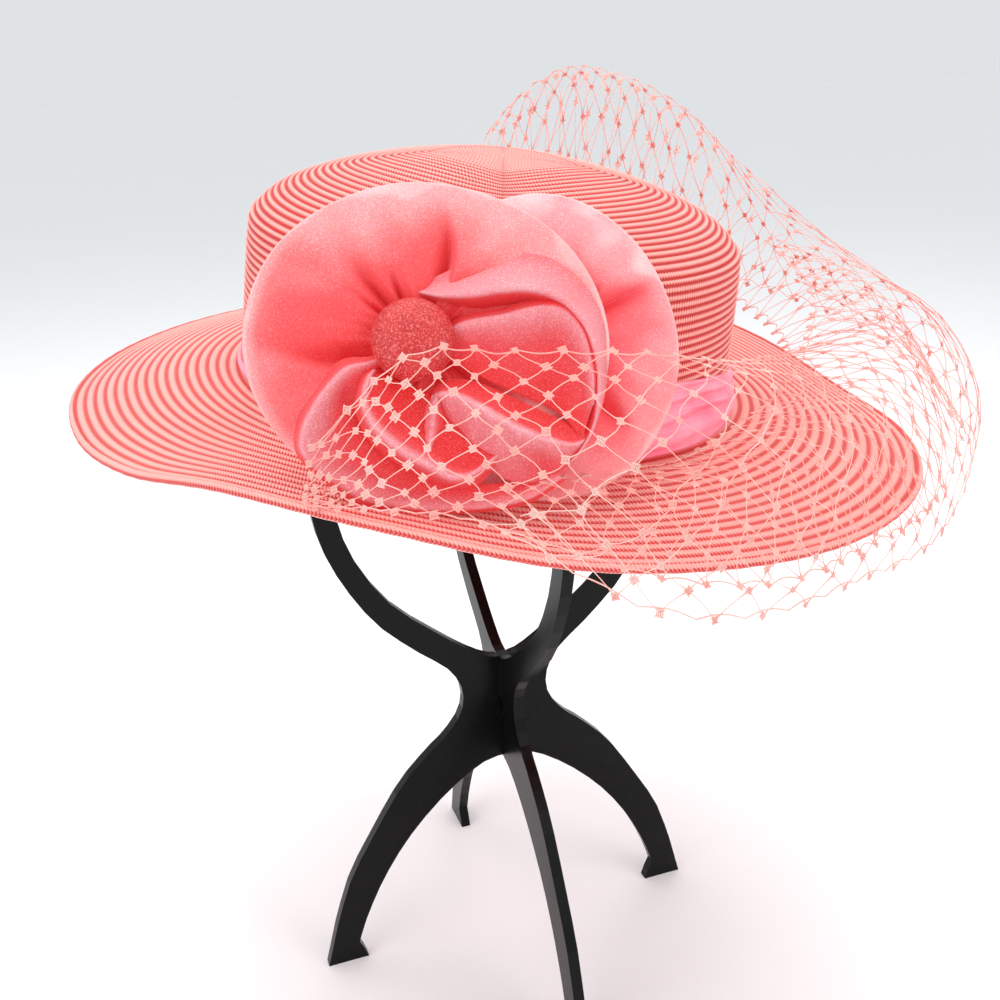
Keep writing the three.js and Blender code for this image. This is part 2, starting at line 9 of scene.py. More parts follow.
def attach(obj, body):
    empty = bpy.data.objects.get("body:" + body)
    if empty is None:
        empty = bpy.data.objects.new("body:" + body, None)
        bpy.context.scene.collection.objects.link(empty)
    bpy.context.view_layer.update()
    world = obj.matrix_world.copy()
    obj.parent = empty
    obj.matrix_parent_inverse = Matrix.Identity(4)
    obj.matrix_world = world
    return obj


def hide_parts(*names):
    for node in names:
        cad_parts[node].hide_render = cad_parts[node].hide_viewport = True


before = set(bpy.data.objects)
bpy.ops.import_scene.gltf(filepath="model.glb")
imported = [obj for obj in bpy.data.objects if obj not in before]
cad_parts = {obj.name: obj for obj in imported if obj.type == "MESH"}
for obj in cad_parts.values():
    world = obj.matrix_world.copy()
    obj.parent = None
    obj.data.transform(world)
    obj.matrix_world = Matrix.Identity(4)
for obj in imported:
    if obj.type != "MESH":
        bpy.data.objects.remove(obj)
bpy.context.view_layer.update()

# The hat is drawn in millimetres about the centre of its crown's base, as in the part's source
HAT_PLACE = np.array([-17.3468, 1.9477, 288.0])
HAT_LEAN = Matrix.Rotation(math.radians(6.8), 3, "Y") @ Matrix.Rotation(math.radians(6.0), 3, "X")
HAT_TURN = np.array(HAT_LEAN)
ROSETTE_PLACE = np.array([-24.6, -111.0, 48.9])
ROSETTE_TURN = np.array(Matrix.Rotation(math.radians(60.0), 3, "X"))
HEART_PLACE = np.array([-1.0, -4.5, 0.0])
VEIL_LOWERING = 0.9

# Straw hat
CROWN_HALF_LENGTH = 100.0
CROWN_HALF_WIDTH = 90.0
CROWN_HEIGHT = 88.5
CROWN_TAPER = 0.05
MEAN_RADIUS = (CROWN_HALF_LENGTH + CROWN_HALF_WIDTH) / 2
CROWN_WALL = 2.0
BRIM_WALL = 1.7
RIDGE_PITCH = 2.9
ROWS_PER_RIDGE = 5
CROWN_RIDGE_DEPTH = 0.9
BRIM_RIDGE_DEPTH = 0.6
STITCH = 1.35
COLUMNS = 360
CROWN_COLUMNS = 288
FLAT_RIDGES = 10.0
COLLAR_HEIGHT = 9.0
COLLAR_OUTSIDE = 2.3
COLLAR_INSIDE = 4.0
BRIM_RIDGES = 17
BRIM_TOP_ROWS = 6
BRIM_UNDER_ROWS = 4
BRIM_DROOP = 1.5
HEM_SHARE = 0.965
HEM_RADIUS = 1.5
HEM_ROWS = 13

# The brim's ridges are counted from here in its UV map, so that the straw's material can tell them apart
BRIM_START = 100.0

# Crown profile from the top centre down: share of the half sizes, and drop below the top
CROWN_SHARES = [0.0, 0.25, 0.47, 0.66, 0.81, 0.91, 0.975, 1.0, 1.0]
CROWN_DROPS = [0.0, 1.2, 4.8, 9.4, 14.6, 19.6, 25.8, 34.0, 88.2]

# Brim by azimuth in degrees: width beyond the crown's foot, and rise of the edge over it
BRIM_AZIMUTHS = [0, 20, 40, 60, 90, 120, 150, 180, 200, 220, 240, 260, 280, 300, 320, 340]
BRIM_WIDTHS = [84.7, 84.8, 83.6, 83.3, 83, 81, 79.5, 72.6, 64.1, 59.7, 63, 69.4, 73.3, 74.3, 76.6, 81.2]
BRIM_RISES = [-13, -16, -9, -5, -12, -20, -24, -23.8, -21.7, -12.6, 2.6, 6.4, 0.6, -3.8, -7.7, -10]

# Sash round the crown's foot
BAND_LIFT = 2.8
BAND_HEIGHT = 2.0
BAND_WIDENING = 20.0
BAND_WIDEST = -60.0
BAND_FLARE = 9.0
BAND_ROWS = 34
BAND_GIRTH = 620.0
BAND_STREAKS = 24

# Rosette discs in its leaning face: centre, half sizes, hole, backward bend of the right half, how much the
# upper right of the rim is drawn in, and how light the cloth is painted by azimuth: painted light on the
# sides that face the light, painted shade on those turned away
FRONT_DISC = {
    "centre": (3.9, -1.5, 0.0),
    "half": (56.6, 50.2),
    "hole": 4.0,
    "bend": 0.0,
    "drawn_in": 0.0,
    "painted_light": [(20, 0.9), (90, 1.0), (140, 0.84), (172, 0.62), (210, 0.68), (250, 0.8), (300, 0.88)],
}
BACK_DISC = {
    "centre": (41.0, 2.4, -8.2),
    "half": (45.8, 49.4),
    "hole": 6.0,
    "bend": 14.0,
    "drawn_in": 0.045,
    "painted_light": [(0, 0.9), (70, 1.1), (110, 1.15), (180, 1.0), (270, 0.9), (320, 0.85)],
}

# Puff heights of a disc by azimuth
FRONT_PUFFS = [
    (45, 7), (100, 11.5), (127, 9.5), (142, 9), (178, 9.5), (216, 8), (260, 6.5), (305, 6), (340, 6)
]
BACK_PUFFS = [(34, 7), (66, 8.5), (104, 8), (165, 7.5), (230, 7.5), (290, 7), (350, 7)]

# Creases of a disc: azimuth at the hole, a third of the way out and at the rim, how far out it reaches, its
# width in degrees on the clockwise and on the other side, and its depth
FRONT_CREASES = [
    (94, 80, 93, 0.74, 3.0, 10.0, 0.95),
    (131, 121, 117, 0.34, 4.0, 3.0, 0.9),
    (142, 137, 133, 0.50, 4.0, 7.0, 0.95),
    (158, 150, 146, 0.40, 6.0, 3.0, 0.8),
    (180, 172, 168, 0.26, 6.0, 6.0, 0.6),
    (228, 203, 183, 0.84, 12.0, 7.0, 0.9),
    (247, 238, 230, 0.42, 8.0, 8.0, 0.8),
    (285, 285, 285, 0.40, 10.0, 10.0, 0.8),
    (322, 322, 325, 0.40, 10.0, 10.0, 0.8),
    (352, 352, 350, 0.40, 8.0, 8.0, 0.8),
]
BACK_CREASES = [
    (46, 40, 33, 0.98, 13.0, 3.5, 0.95),
    (52, 50, 56, 0.46, 5.0, 5.0, 0.8),
    (84, 86, 90, 0.50, 8.0, 8.0, 0.8),
    (130, 130, 130, 0.50, 12.0, 12.0, 0.7),
    (200, 200, 200, 0.50, 12.0, 12.0, 0.7),
    (262, 262, 262, 0.50, 9.0, 9.0, 0.7),
    (318, 320, 324, 0.80, 10.0, 5.0, 0.9),
]

# Folded petals about the button, laid out as they look to someone in front of the hat, then turned, shrunk,
# shifted and dropped by their height into the rosette's leaning face. Each row is a section: the foot, the
# crest of the fold, and where the cloth goes on behind it, as three points
PETAL_TURN = 4.6
PETAL_SCALE = 0.965
PETAL_SHIFT = (1.5, 3.7)
PETAL_DROP = 0.159
PETAL_COLUMNS = 110
PETAL_ROWS = 56
PETAL_CREST = 0.72
PETAL_THICKNESS = 0.7
UPPER_FOLD = [
    (-1.5, 17.0, 5.2, 0.0, 15.4, 7.4, 1.2, 13.6, 6.4),
    (0.5, 17.5, 5.4, 2.6, 14.9, 10.4, 4.0, 13.2, 6.8),
    (8, 21, 6.0, 8.5, 13.6, 13.5, 9.5, 11.6, 6.0),
    (18, 25.5, 6.5, 17.2, 13.8, 15.0, 17.5, 9.6, 4.5),
    (29, 28, 6.3, 26.6, 15.3, 16.0, 26.0, 9.6, 4.0),
    (40.5, 27.5, 5.6, 36, 15.6, 16.0, 35.0, 10.2, 4.5),
    (50.5, 22, 4.6, 45.3, 12.5, 15.0, 43.2, 8.6, 5.0),
    (58, 12.5, 3.2, 53, 4.7, 13.5, 50.0, 2.4, 5.5),
    (61, 1, 2.6, 57, -6, 12.0, 53.6, -7.5, 5.5),
    (61, -12, 2.3, 57.6, -18, 10.0, 54.6, -19.0, 5.0),
    (58.5, -23, 2.2, 56, -28, 8.0, 53.2, -28.0, 4.4),
    (54, -32, 2.2, 51.5, -36, 6.0, 49.5, -35.0, 3.8),
    (49, -38.5, 2.2, 47, -40.5, 3.6, 46, -39.5, 3.0),
]
INNER_SHEET = [
    (8.5, -5, 7.0, 7.0, 1.0, 8.2, 8.0, 3.0, 7.2),
    (14, -8, 7.6, 13.6, 4.8, 11.4, 14.0, 7.0, 7.8),
    (19.5, -11, 7.8, 20.2, 6.6, 12.8, 20.4, 9.0, 7.4),
    (25.5, -14, 7.8, 26.6, 7.6, 13.2, 27.0, 10.2, 7.4),
    (32.5, -17, 7.8, 33.4, 9.4, 13.6, 34.0, 12.0, 9.0),
    (39.5, -20, 7.8, 41, 10.8, 13.6, 42.4, 13.0, 11.4),
    (45, -23, 7.6, 47.6, 8.6, 13.2, 49.6, 10.4, 11.4),
    (49, -27, 7.2, 52.8, 1.2, 12.2, 55.0, 2.0, 10.6),
    (51, -30, 6.6, 55.4, -9.6, 10.8, 57.6, -9.2, 9.2),
    (52, -32, 6.0, 56.0, -20, 8.6, 58.0, -20, 7.0),
]
HIGHLIGHT_FOLD = [
    (5.6, -20.5, 8.4, 5.2, -18.2, 9.6, 6.0, -15.6, 8.0),
    (9.5, -25, 8.2, 8.4, -16.8, 13.6, 9.4, -13.0, 8.0),
    (14.5, -31, 8.2, 13.0, -17.2, 14.8, 14.6, -12.6, 7.4),
    (20, -38, 7.8, 18.4, -19.6, 14.4, 20.6, -14.0, 7.6),
    (27, -43.5, 7.0, 25.0, -23.4, 13.6, 28.0, -17.0, 7.8),
    (35, -45.5, 6.0, 32.4, -27.6, 12.6, 36.0, -20.8, 7.6),
    (43, -43.5, 5.0, 41, -31, 10.8, 44.6, -24.8, 7.0),
    (50, -38, 4.0, 49, -33, 8.4, 51.6, -28.2, 6.0),
    (54.5, -32, 3.4, 54.5, -31, 5.6, 56.0, -28.2, 4.4),
]
LEFT_FOLD = [
    (5.6, -18.0, 9.0, 7.0, -16.8, 12.0, 9.0, -17.0, 9.0),
    (2.2, -22.5, 8.4, 6.0, -21.5, 14.0, 9.8, -22.8, 8.2),
    (1.0, -28, 8.4, 5.2, -27.8, 14.0, 9.4, -28.8, 8.0),
    (0.4, -34, 8.6, 4.4, -34, 13.6, 8.6, -34.6, 8.2),
    (0.2, -39, 9.0, 3.6, -39.4, 13.0, 7.6, -39.4, 8.6),
]
CUP = [
    (-13.6, -9.8, 9.0, -12.6, -9.4, 10.0, -11.4, -9.8, 8.6),
    (-16.8, -12.4, 10.0, -14.4, -12.6, 13.6, -8.6, -11.6, 8.2),
    (-18.4, -21, 9.4, -15.6, -20, 15.8, -6.0, -13.0, 7.8),
    (-15.8, -29.5, 9.0, -12.8, -26.9, 16.0, -1.0, -14.6, 7.6),
    (-9.8, -36, 8.6, -7.2, -32.5, 16.0, 4.0, -16.4, 7.4),
    (-3.5, -40.2, 8.0, -1.9, -36.3, 16.0, 9.0, -18.4, 7.4),
    (3.5, -43.6, 7.4, 4.4, -39.6, 15.6, 14.0, -21.6, 7.4),
    (10.8, -46.8, 6.8, 10.6, -43.0, 14.6, 19.0, -27.0, 7.4),
    (17.8, -46.6, 6.8, 16.4, -42.6, 13.4, 21.6, -32.0, 7.6),
    (23.4, -42.0, 7.2, 21.4, -39.4, 12.0, 22.6, -35.0, 8.0),
    (27.0, -37.6, 7.0, 26.0, -36.0, 8.6, 25.6, -34.6, 7.4),
]
LOWER_FOLD = [
    (-10.5, -7.5, 8.6, -11.0, -6.0, 9.2, -11.4, -4.6, 8.2),
    (-12.8, -9.5, 9.2, -14.4, -7.4, 11.0, -15.0, -5.6, 8.4),
    (-14, -14.5, 8.6, -21, -9.2, 12.8, -22.6, -6.4, 7.6),
    (-15.5, -21, 8.2, -26, -13.9, 13.0, -28.6, -11.6, 7.0),
    (-14.5, -28, 8.0, -31, -20.8, 12.4, -34.0, -19.2, 5.8),
    (-11.5, -34, 8.0, -34.8, -28.4, 11.0, -37.8, -27.6, 4.4),
    (-7.5, -38, 7.8, -35, -35.5, 9.4, -37.4, -36.2, 3.2),
    (-2, -41, 7.6, -28.5, -42, 8.4, -30.4, -43.6, 2.6),
    (4, -43.5, 7.2, -17.5, -49.4, 7.8, -18.6, -51.6, 3.4),
    (11, -45, 6.6, -4, -52.6, 7.6, -4.4, -54.2, 4.0),
    (19, -45.5, 6.0, 10, -53.4, 7.4, 10.0, -54.8, 4.4),
    (27, -45.4, 5.4, 24, -52.6, 6.8, 24.4, -54.0, 4.2),
    (35, -44, 4.6, 36, -49.8, 5.8, 37.0, -51.2, 3.6),
    (43, -40.5, 3.6, 46, -43.6, 4.6, 47.4, -44.6, 2.6),
]
BUTTON_RADIUS = 12.7
BUTTON_HEIGHT = 11.0
BUTTON_PLACE = np.array([0.8, 2.0, 6.9])

# Veil by azimuth: five points (radius, height) from its upper edge to its lower one
VEIL_SECTIONS = [
    (-110, 152, 24, 153, 18, 154, 13, 155, 9, 156, 7),
    (-100, 144, 55.5, 150, 45, 157, 33, 163, 23, 168, 17),
    (-89, 138, 58.5, 150, 50, 159, 38, 166, 26, 172, 17),
    (-75, 136, 57, 151, 50, 165, 38, 177, 18, 186, 1),
    (-60, 128, 52, 148, 50, 166, 34, 178, 10, 182, -12),
    (-43, 121, 43, 143, 46, 163, 32, 176, 6, 180, -16),
    (-22, 119, 33, 147, 45, 171, 33, 188, 6, 192, -20),
    (0, 118, 27, 147, 48, 179, 42, 205, 16, 210, -9),
    (20, 113, 30, 140, 58, 174, 46, 206, 28, 212, 3),
    (34, 108, 36, 130, 78, 152, 66, 178, 44, 186, 14),
    (50, 105, 44, 122, 96, 144, 88, 164, 52, 168, 20),
    (72, 102, 50, 113, 108, 132, 106, 150, 66, 154, 26),
    (90, 99, 50, 106, 86, 118, 82, 132, 54, 134, 24),
    (104, 99, 30, 103, 42, 110, 40, 118, 30, 120, 18),
]

# The veil's second layer, folded under the first over the right of the brim: three such points
UNDER_SECTIONS = [
    (-88, 122, 14, 142, 16, 166, 14),
    (-60, 114, 8, 146, 16, 178, -4),
    (-40, 113, 10, 146, 18, 176, -8),
    (-20, 118, 14, 155, 22, 187, -12),
    (0, 132, 24, 172, 27, 205, -2),
    (18, 150, 36, 185, 33, 208, 8),
    (34, 158, 46, 172, 42, 184, 24),
]
STRAND_RADIUS = 0.2
STRAND_SHARES = np.array([1.6, 0.9, 0.8, 0.9, 1.6])
STRAND_SIDES = 4

# How the net's width is spread over the azimuths, more closely where it is gathered
VEIL_SPREAD = [(0.0, 0.0), (0.12, 0.1), (0.4, 0.47), (0.63, 0.7), (1.0, 1.0)]
UNDER_SPREAD = [(0.0, 0.0), (0.5, 0.52), (1.0, 1.0)]

# Layers of the net: sections and spread, cells along it, rows of cells down it, and seed
VEIL_LAYERS = [
    ((VEIL_SECTIONS, VEIL_SPREAD), 48, 11, 7),
    ((UNDER_SECTIONS, UNDER_SPREAD), 32, 8, 11),
]

# Stand, camera, floor and lights, in metres and degrees
PLATE_ROUNDING = 0.0009
CAMERA_PLACE = (-0.0127, -0.45105, 0.402)
CAMERA_TILT = 69.09
CAMERA_ROLL = -1.9
CAMERA_LENS = 39.6
FLOOR_HALF = 40.0
LIGHTS_AIM = (0, 0, 0.3)
LIGHTS = [
    ("top", (-0.1, 0.25, 1.5), 1.3, 13, (1.0, 0.98, 0.96)),
    ("left", (-1.1, -0.9, 0.9), 1.2, 7, (0.98, 0.99, 1.0)),
    ("right", (1.2, -0.7, 0.8), 0.9, 6, (1.0, 0.98, 0.96)),
]


def smooth_table(keys, values, at, loop=False):
    """Smooth curve through a table's points; a loop table repeats after 360."""
    keys = np.asarray(keys, float)
    values = np.asarray(values, float)
    at = np.asarray(at, float)
    if loop:
        keys = np.concatenate([[keys[-1] - 360], keys, keys[:2] + 360])
        values = np.concatenate([values[-1:], values, values[:2]])
        at = np.mod(at, 360)
    i = np.clip(np.searchsorted(keys, at, side="right") - 1, 0, len(keys) - 2)
    before = np.maximum(i - 1, 0)
    after = np.minimum(i + 2, len(keys) - 1)
    span = keys[i + 1] - keys[i]
    share = np.clip((at - keys[i]) / span, 0, 1)
    start_slope = (values[i + 1] - values[before]) / (keys[i + 1] - keys[before]) * span
    end_slope = (values[after] - values[i]) / (keys[after] - keys[i]) * span
    s2, s3 = share**2, share**3
    return (
        (2 * s3 - 3 * s2 + 1) * values[i]
        + (s3 - 2 * s2 + share) * start_slope
        + (3 * s2 - 2 * s3) * values[i + 1]
        + (s3 - s2) * end_slope
    )


def smooth_step(low, high, x):
    t = np.clip((x - low) / (high - low), 0, 1)
    return t * t * (3 - 2 * t)


def hat_to_world(points):
    return (points @ HAT_TURN.T + HAT_PLACE) / 1000


def rosette_to_world(points):
    return hat_to_world(points @ ROSETTE_TURN.T + ROSETTE_PLACE)


def unit_normals(points, wrap_columns=False):
    """Unit normals of a grid of points, columns first."""
    if wrap_columns:
        along = np.roll(points, -1, 0) - np.roll(points, 1, 0)
    else:
        along = np.gradient(points, axis=0)
    across = np.gradient(points, axis=1)
    normal = np.cross(along, across)
    return normal / np.maximum(np.linalg.norm(normal, axis=-1, keepdims=True), 1e-9)


# Mesh building


def add_piece(name, vertices, faces, uvs, material, node):
    """A smooth mesh object from world points, with its faces' UVs, riding on the only body."""
    mesh = bpy.data.meshes.new(name)
    mesh.from_pydata(vertices.tolist(), [], faces)
    layer = mesh.uv_layers.new(name="UVMap")
    layer.data.foreach_set("uv", np.asarray(uvs, float).ravel())
    mesh.materials.append(material)
    work = bmesh.new()
    work.from_mesh(mesh)
    bmesh.ops.recalc_face_normals(work, faces=work.faces)
    work.to_mesh(mesh)
    work.free()
    mesh.shade_smooth()
    piece = bpy.data.objects.new(name, mesh)
    bpy.context.scene.collection.objects.link(piece)
    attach(piece, "root")
    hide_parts(node)
    return piece


def grid_faces(shape, wrap_columns, wrap_rows, around, values):
    """Quads of a grid with UVs: a row's U runs to around[row], and V is the value given to each point."""
    columns, rows = shape
    column_steps = columns if wrap_columns else columns - 1
    row_steps = rows if wrap_rows else rows - 1
    c, r = np.meshgrid(np.arange(column_steps), np.arange(row_steps), indexing="ij")
    n, s = (c + 1) % columns, (r + 1) % rows
    faces = np.stack([c * rows + r, n * rows + r, n * rows + s, c * rows + s], -1).reshape(-1, 4)
    values = np.broadcast_to(values, (columns, rows))
    turn = around[r] / column_steps
    corners = [
        (c * turn, values[c, r]),
        ((c + 1) * turn, values[n, r]),
        ((c + 1) * turn, values[n, s]),
        (c * turn, values[c, s]),
    ]
    uvs = np.stack([np.stack(corner, -1) for corner in corners], 2).reshape(-1, 2)
    return faces.tolist(), uvs.tolist()


def grid_piece(name, points, around, values, material, node, wrap_rows=False, caps=False):
    """A surface that closes round its columns; caps close its first and last rows with fans."""
    columns, rows = points.shape[:2]
    vertices = points.reshape(-1, 3)
    faces, uvs = grid_faces((columns, rows), True, wrap_rows, around, values)
    if caps:
        middles = np.array([points[:, 0].mean(0), points[:, -1].mean(0)])
        first = len(vertices)
        vertices = np.concatenate([vertices, middles])
        ends = (values[0], values[-1])
        for c in range(columns):
            n = (c + 1) % columns
            faces.append((n * rows, c * rows, first))
            faces.append((c * rows + rows - 1, n * rows + rows - 1, first + 1))
            uvs.extend([(0, ends[0])] * 3 + [(0, ends[1])] * 3)
    return add_piece(name, vertices, faces, uvs, material, node)


def shell_grid(middle, thickness, values):
    """Points, faces and UVs of a thin closed sheet about a grid of middle points."""
    columns, rows = middle.shape[:2]
    offset = unit_normals(middle) * thickness / 2
    loop = np.concatenate([middle + offset, (middle - offset)[:, ::-1]], axis=1)
    painted_shading = np.concatenate([values, values[:, ::-1]], axis=1)
    count = loop.shape[1]
    faces, uvs = grid_faces((columns, count), False, True, np.ones(count), painted_shading)
    for c in (0, columns - 1):
        for r in range(rows - 1):
            a, d = c * count + r, c * count + count - 1 - r
            faces.append((a, a + 1, d - 1, d))
            uvs.extend([(0, painted_shading[c, r]), (0, painted_shading[c, r + 1]), (0, painted_shading[c, r + 1]), (0, painted_shading[c, r])])
    return loop.reshape(-1, 3), faces, uvs


# Materials


class Shader:
    """Small helper that lays nodes in a material and joins them."""

    def __init__(self, name):
        self.material = bpy.data.materials.new(name)
        self.material.use_nodes = True
        self.tree = self.material.node_tree
        self.surface = self.tree.nodes["Principled BSDF"]

    def node(self, kind, **settings):
        node = self.tree.nodes.new(kind)
        for key, value in settings.items():
            setattr(node, key, value)
        return node

    def link(self, source, target):
        if isinstance(source, (int, float, tuple)):
            target.default_value = source
        else:
            self.tree.links.new(source, target)

    def math(self, operation, a, b=0.0, c=0.0):
        node = self.node("ShaderNodeMath", operation=operation)
        for value, socket in zip((a, b, c), node.inputs):
            self.link(value, socket)
        return node.outputs[0]

    def step(self, value, low, high):
        node = self.node("ShaderNodeMapRange", interpolation_type="SMOOTHSTEP")
        self.link(value, node.inputs["Value"])
        self.link(low, node.inputs["From Min"])
        self.link(high, node.inputs["From Max"])
        return node.outputs["Result"]

    def mix(self, factor, a, b):
        node = self.node("ShaderNodeMix", data_type="RGBA")
        self.link(factor, node.inputs["Factor"])
        self.link(a, node.inputs[6])
        self.link(b, node.inputs[7])
        return node.outputs[2]

    def noise(self, vector, scale, detail=2.0, roughness=0.5):
        node = self.node("ShaderNodeTexNoise")
        self.link(vector, node.inputs["Vector"])
        node.inputs["Scale"].default_value = scale
        node.inputs["Detail"].default_value = detail
        node.inputs["Roughness"].default_value = roughness
        return node.outputs["Fac"]

    def bump(self, height, strength, distance):
        node = self.node("ShaderNodeBump")
        node.inputs["Strength"].default_value = strength
        node.inputs["Distance"].default_value = distance
        self.link(height, node.inputs["Height"])
        self.link(node.outputs[0], self.surface.inputs["Normal"])

    def coordinates(self, kind="Object"):
        return self.node("ShaderNodeTexCoord").outputs[kind]

    def uv(self):
        split = self.node("ShaderNodeSeparateXYZ")
        self.link(self.coordinates("UV"), split.inputs[0])
        return split.outputs[0], split.outputs[1]

    def set(self, **values):
        for key, value in values.items():
            self.surface.inputs[key.replace("_", " ")].default_value = value


def srgb(red, green, blue):
    """Linear colour from 0-255 screen values."""
    shares = (red / 255, green / 255, blue / 255)
    return tuple(x / 12.92 if x <= 0.04045 else ((x + 0.055) / 1.055) ** 2.4 for x in shares) + (1.0,)


def straw_material():
    """Sewn straw braid: painted light on the ridges with saw-toothed edges, painted shade in the valleys,
    dark gaps between stitches.
    """
    s = Shader("straw")
    stitch, ridge = s.uv()
    wave = s.math("MULTIPLY_ADD", s.math("COSINE", s.math("MULTIPLY", ridge, 2 * math.pi)), -0.5, 0.5)
    slant = s.math("PINGPONG", s.math("MULTIPLY", ridge, 2.0), 1.0)
    run = s.math("MULTIPLY_ADD", slant, 0.8, stitch)
    rope = s.math("MULTIPLY", s.math("PINGPONG", run, 0.5), 2.0)
    place = s.coordinates()
    patch = s.noise(place, 26.0, 3.0)
    fibre = s.noise(place, 1500.0, 3.0, 0.7)
    on_brim = s.step(ridge, BRIM_START - 20.0, BRIM_START - 10.0)
    # The brim faces up into the light, so its ridges are painted wider and lighter and its valleys less
    # shaded than on the crown's side
    edge = s.math("MULTIPLY_ADD", s.math("SUBTRACT", rope, 0.5), 0.45, wave)
    edge = s.math("MULTIPLY_ADD", on_brim, 0.16, edge)
    flat = s.math("SUBTRACT", 1.0, s.step(ridge, FLAT_RIDGES - 1.0, FLAT_RIDGES + 1.0))
    lit = s.math("MAXIMUM", s.step(edge, 0.35, 0.85), s.math("MULTIPLY", flat, s.step(rope, 0.1, 0.7)))
    low = s.math("SUBTRACT", 1.0, s.step(edge, 0.12, 0.45))
    low = s.math("MULTIPLY", low, s.math("SUBTRACT", 1.0, flat))
    low = s.math("MAXIMUM", low, s.math("MULTIPLY", flat, 0.15))
    # Ridge colour against valley colour: painted light on the ridges, painted shade in the valleys
    body = s.mix(lit, srgb(240, 100, 96), srgb(255, 190, 180))
    body = s.mix(s.math("MULTIPLY", s.step(patch, 0.35, 0.75), 0.22), body, srgb(250, 150, 144))
    body = s.mix(s.math("MULTIPLY", s.step(fibre, 0.5, 0.8), 0.3), body, srgb(255, 216, 206))
    # Painted shade in the valleys, deep red, weaker on the brim than on the crown's side
    low = s.math("MULTIPLY", low, s.math("MULTIPLY_ADD", on_brim, -0.4, 0.75))
    body = s.mix(low, body, srgb(206, 44, 44))
    gap = s.math("SUBTRACT", 1.0, s.step(rope, 0.0, 0.45))
    valley = s.math("SUBTRACT", 1.0, s.step(wave, 0.1, 0.5))
    speck = s.math("MULTIPLY", s.math("MULTIPLY", gap, valley), s.step(patch, 0.3, 0.55))
    body = s.mix(s.math("MULTIPLY", speck, 0.8), body, srgb(116, 26, 26))
    s.link(body, s.surface.inputs["Base Color"])
    s.set(
        Roughness=0.5,
        Specular_IOR_Level=0.3,
        # Painted glow: a faint red emission that lifts and reddens the straw's shadows
        Emission_Color=srgb(240, 70, 66),
        Emission_Strength=0.1,
    )
    height = s.math("MULTIPLY_ADD", s.step(rope, 0.0, 0.8), 0.8, s.math("MULTIPLY", fibre, 0.35))
    s.bump(height, 0.8, 0.0007)
    return s.material


def organza_material(name, deep, middle, light, rim):
    """Crisp organza, opaque here: a faint red glow in its folds stands in for light through sheer cloth."""
    s = Shader(name)
    painted_shading = s.uv()[1]
    place = s.coordinates()
    cloud = s.noise(place, 70.0, 3.0)
    painted_shading = s.math("MULTIPLY_ADD", s.math("SUBTRACT", cloud, 0.5), 0.22, painted_shading)
    # Colours by the painted shading carried in V: painted shade deep red in folds, creases and hollows,
    # lighter where the cloth faces the light, and a pale rim band that is partly the doubled hem and partly
    # painted sheen
    body = s.mix(s.step(painted_shading, 0.0, 0.42), deep, middle)
    body = s.mix(s.step(painted_shading, 0.4, 0.86), body, light)
    body = s.mix(s.step(painted_shading, 0.86, 1.06), body, rim)
    grain = s.noise(place, 2000.0, 2.0, 0.85)
    fine = s.noise(place, 1600.0, 3.0, 0.9)
    glint_and_grain_amount = s.math("MULTIPLY_ADD", s.step(painted_shading, 0.35, 1.0), 0.5, 0.14)
    # Lilac-white specks are painted glints on the shot threads, more of them where the cloth is painted
    # light; the darker specks below are the weave's own grain
    body = s.mix(s.math("MULTIPLY", s.step(grain, 0.5, 0.68), glint_and_grain_amount), body, srgb(255, 218, 230))
    dark = s.math("MULTIPLY", s.step(fine, 0.5, 0.72), s.math("MULTIPLY", glint_and_grain_amount, 0.6))
    body = s.mix(dark, body, srgb(214, 84, 116))
    s.link(body, s.surface.inputs["Base Color"])
    glow = s.mix(s.step(painted_shading, 0.0, 0.75), srgb(240, 42, 38), srgb(70, 24, 22))
    s.link(glow, s.surface.inputs["Emission Color"])
    s.set(
        Emission_Strength=0.2,
        Roughness=0.5,
        Specular_IOR_Level=0.35,
        Subsurface_Weight=0.35,
        Subsurface_Radius=(1.0, 0.28, 0.22),
        Subsurface_Scale=0.008,
        Sheen_Weight=0.25,
        Sheen_Roughness=0.4,
        Sheen_Tint=(1.0, 0.84, 0.87, 1.0),
    )
    s.bump(s.math("MULTIPLY_ADD", grain, 0.8, fine), 0.45, 0.0003)
    return s.material


def button_material():
    """Button covered in shot organza: deep red with many small threads, their sparkle painted as glints."""
    s = Shader("button")
    place = s.coordinates()
    cloud = s.noise(place, 160.0, 3.0)
    grain = s.noise(place, 1500.0, 3.0, 0.85)
    body = s.mix(s.step(cloud, 0.3, 0.7), srgb(198, 24, 28), srgb(212, 38, 40))
    # Light specks are painted glints; the darker specks are the threads' own colour
    body = s.mix(s.math("MULTIPLY", s.step(grain, 0.5, 0.66), 0.6), body, srgb(255, 158, 152))
    body = s.mix(s.math("MULTIPLY", s.step(grain, 0.48, 0.36), 0.6), body, srgb(158, 16, 28))
    s.link(body, s.surface.inputs["Base Color"])
    s.set(Roughness=0.4, Sheen_Weight=0.15, Sheen_Roughness=0.3, Sheen_Tint=(1.0, 0.8, 0.82, 1.0))
    s.bump(grain, 0.5, 0.0005)
    return s.material


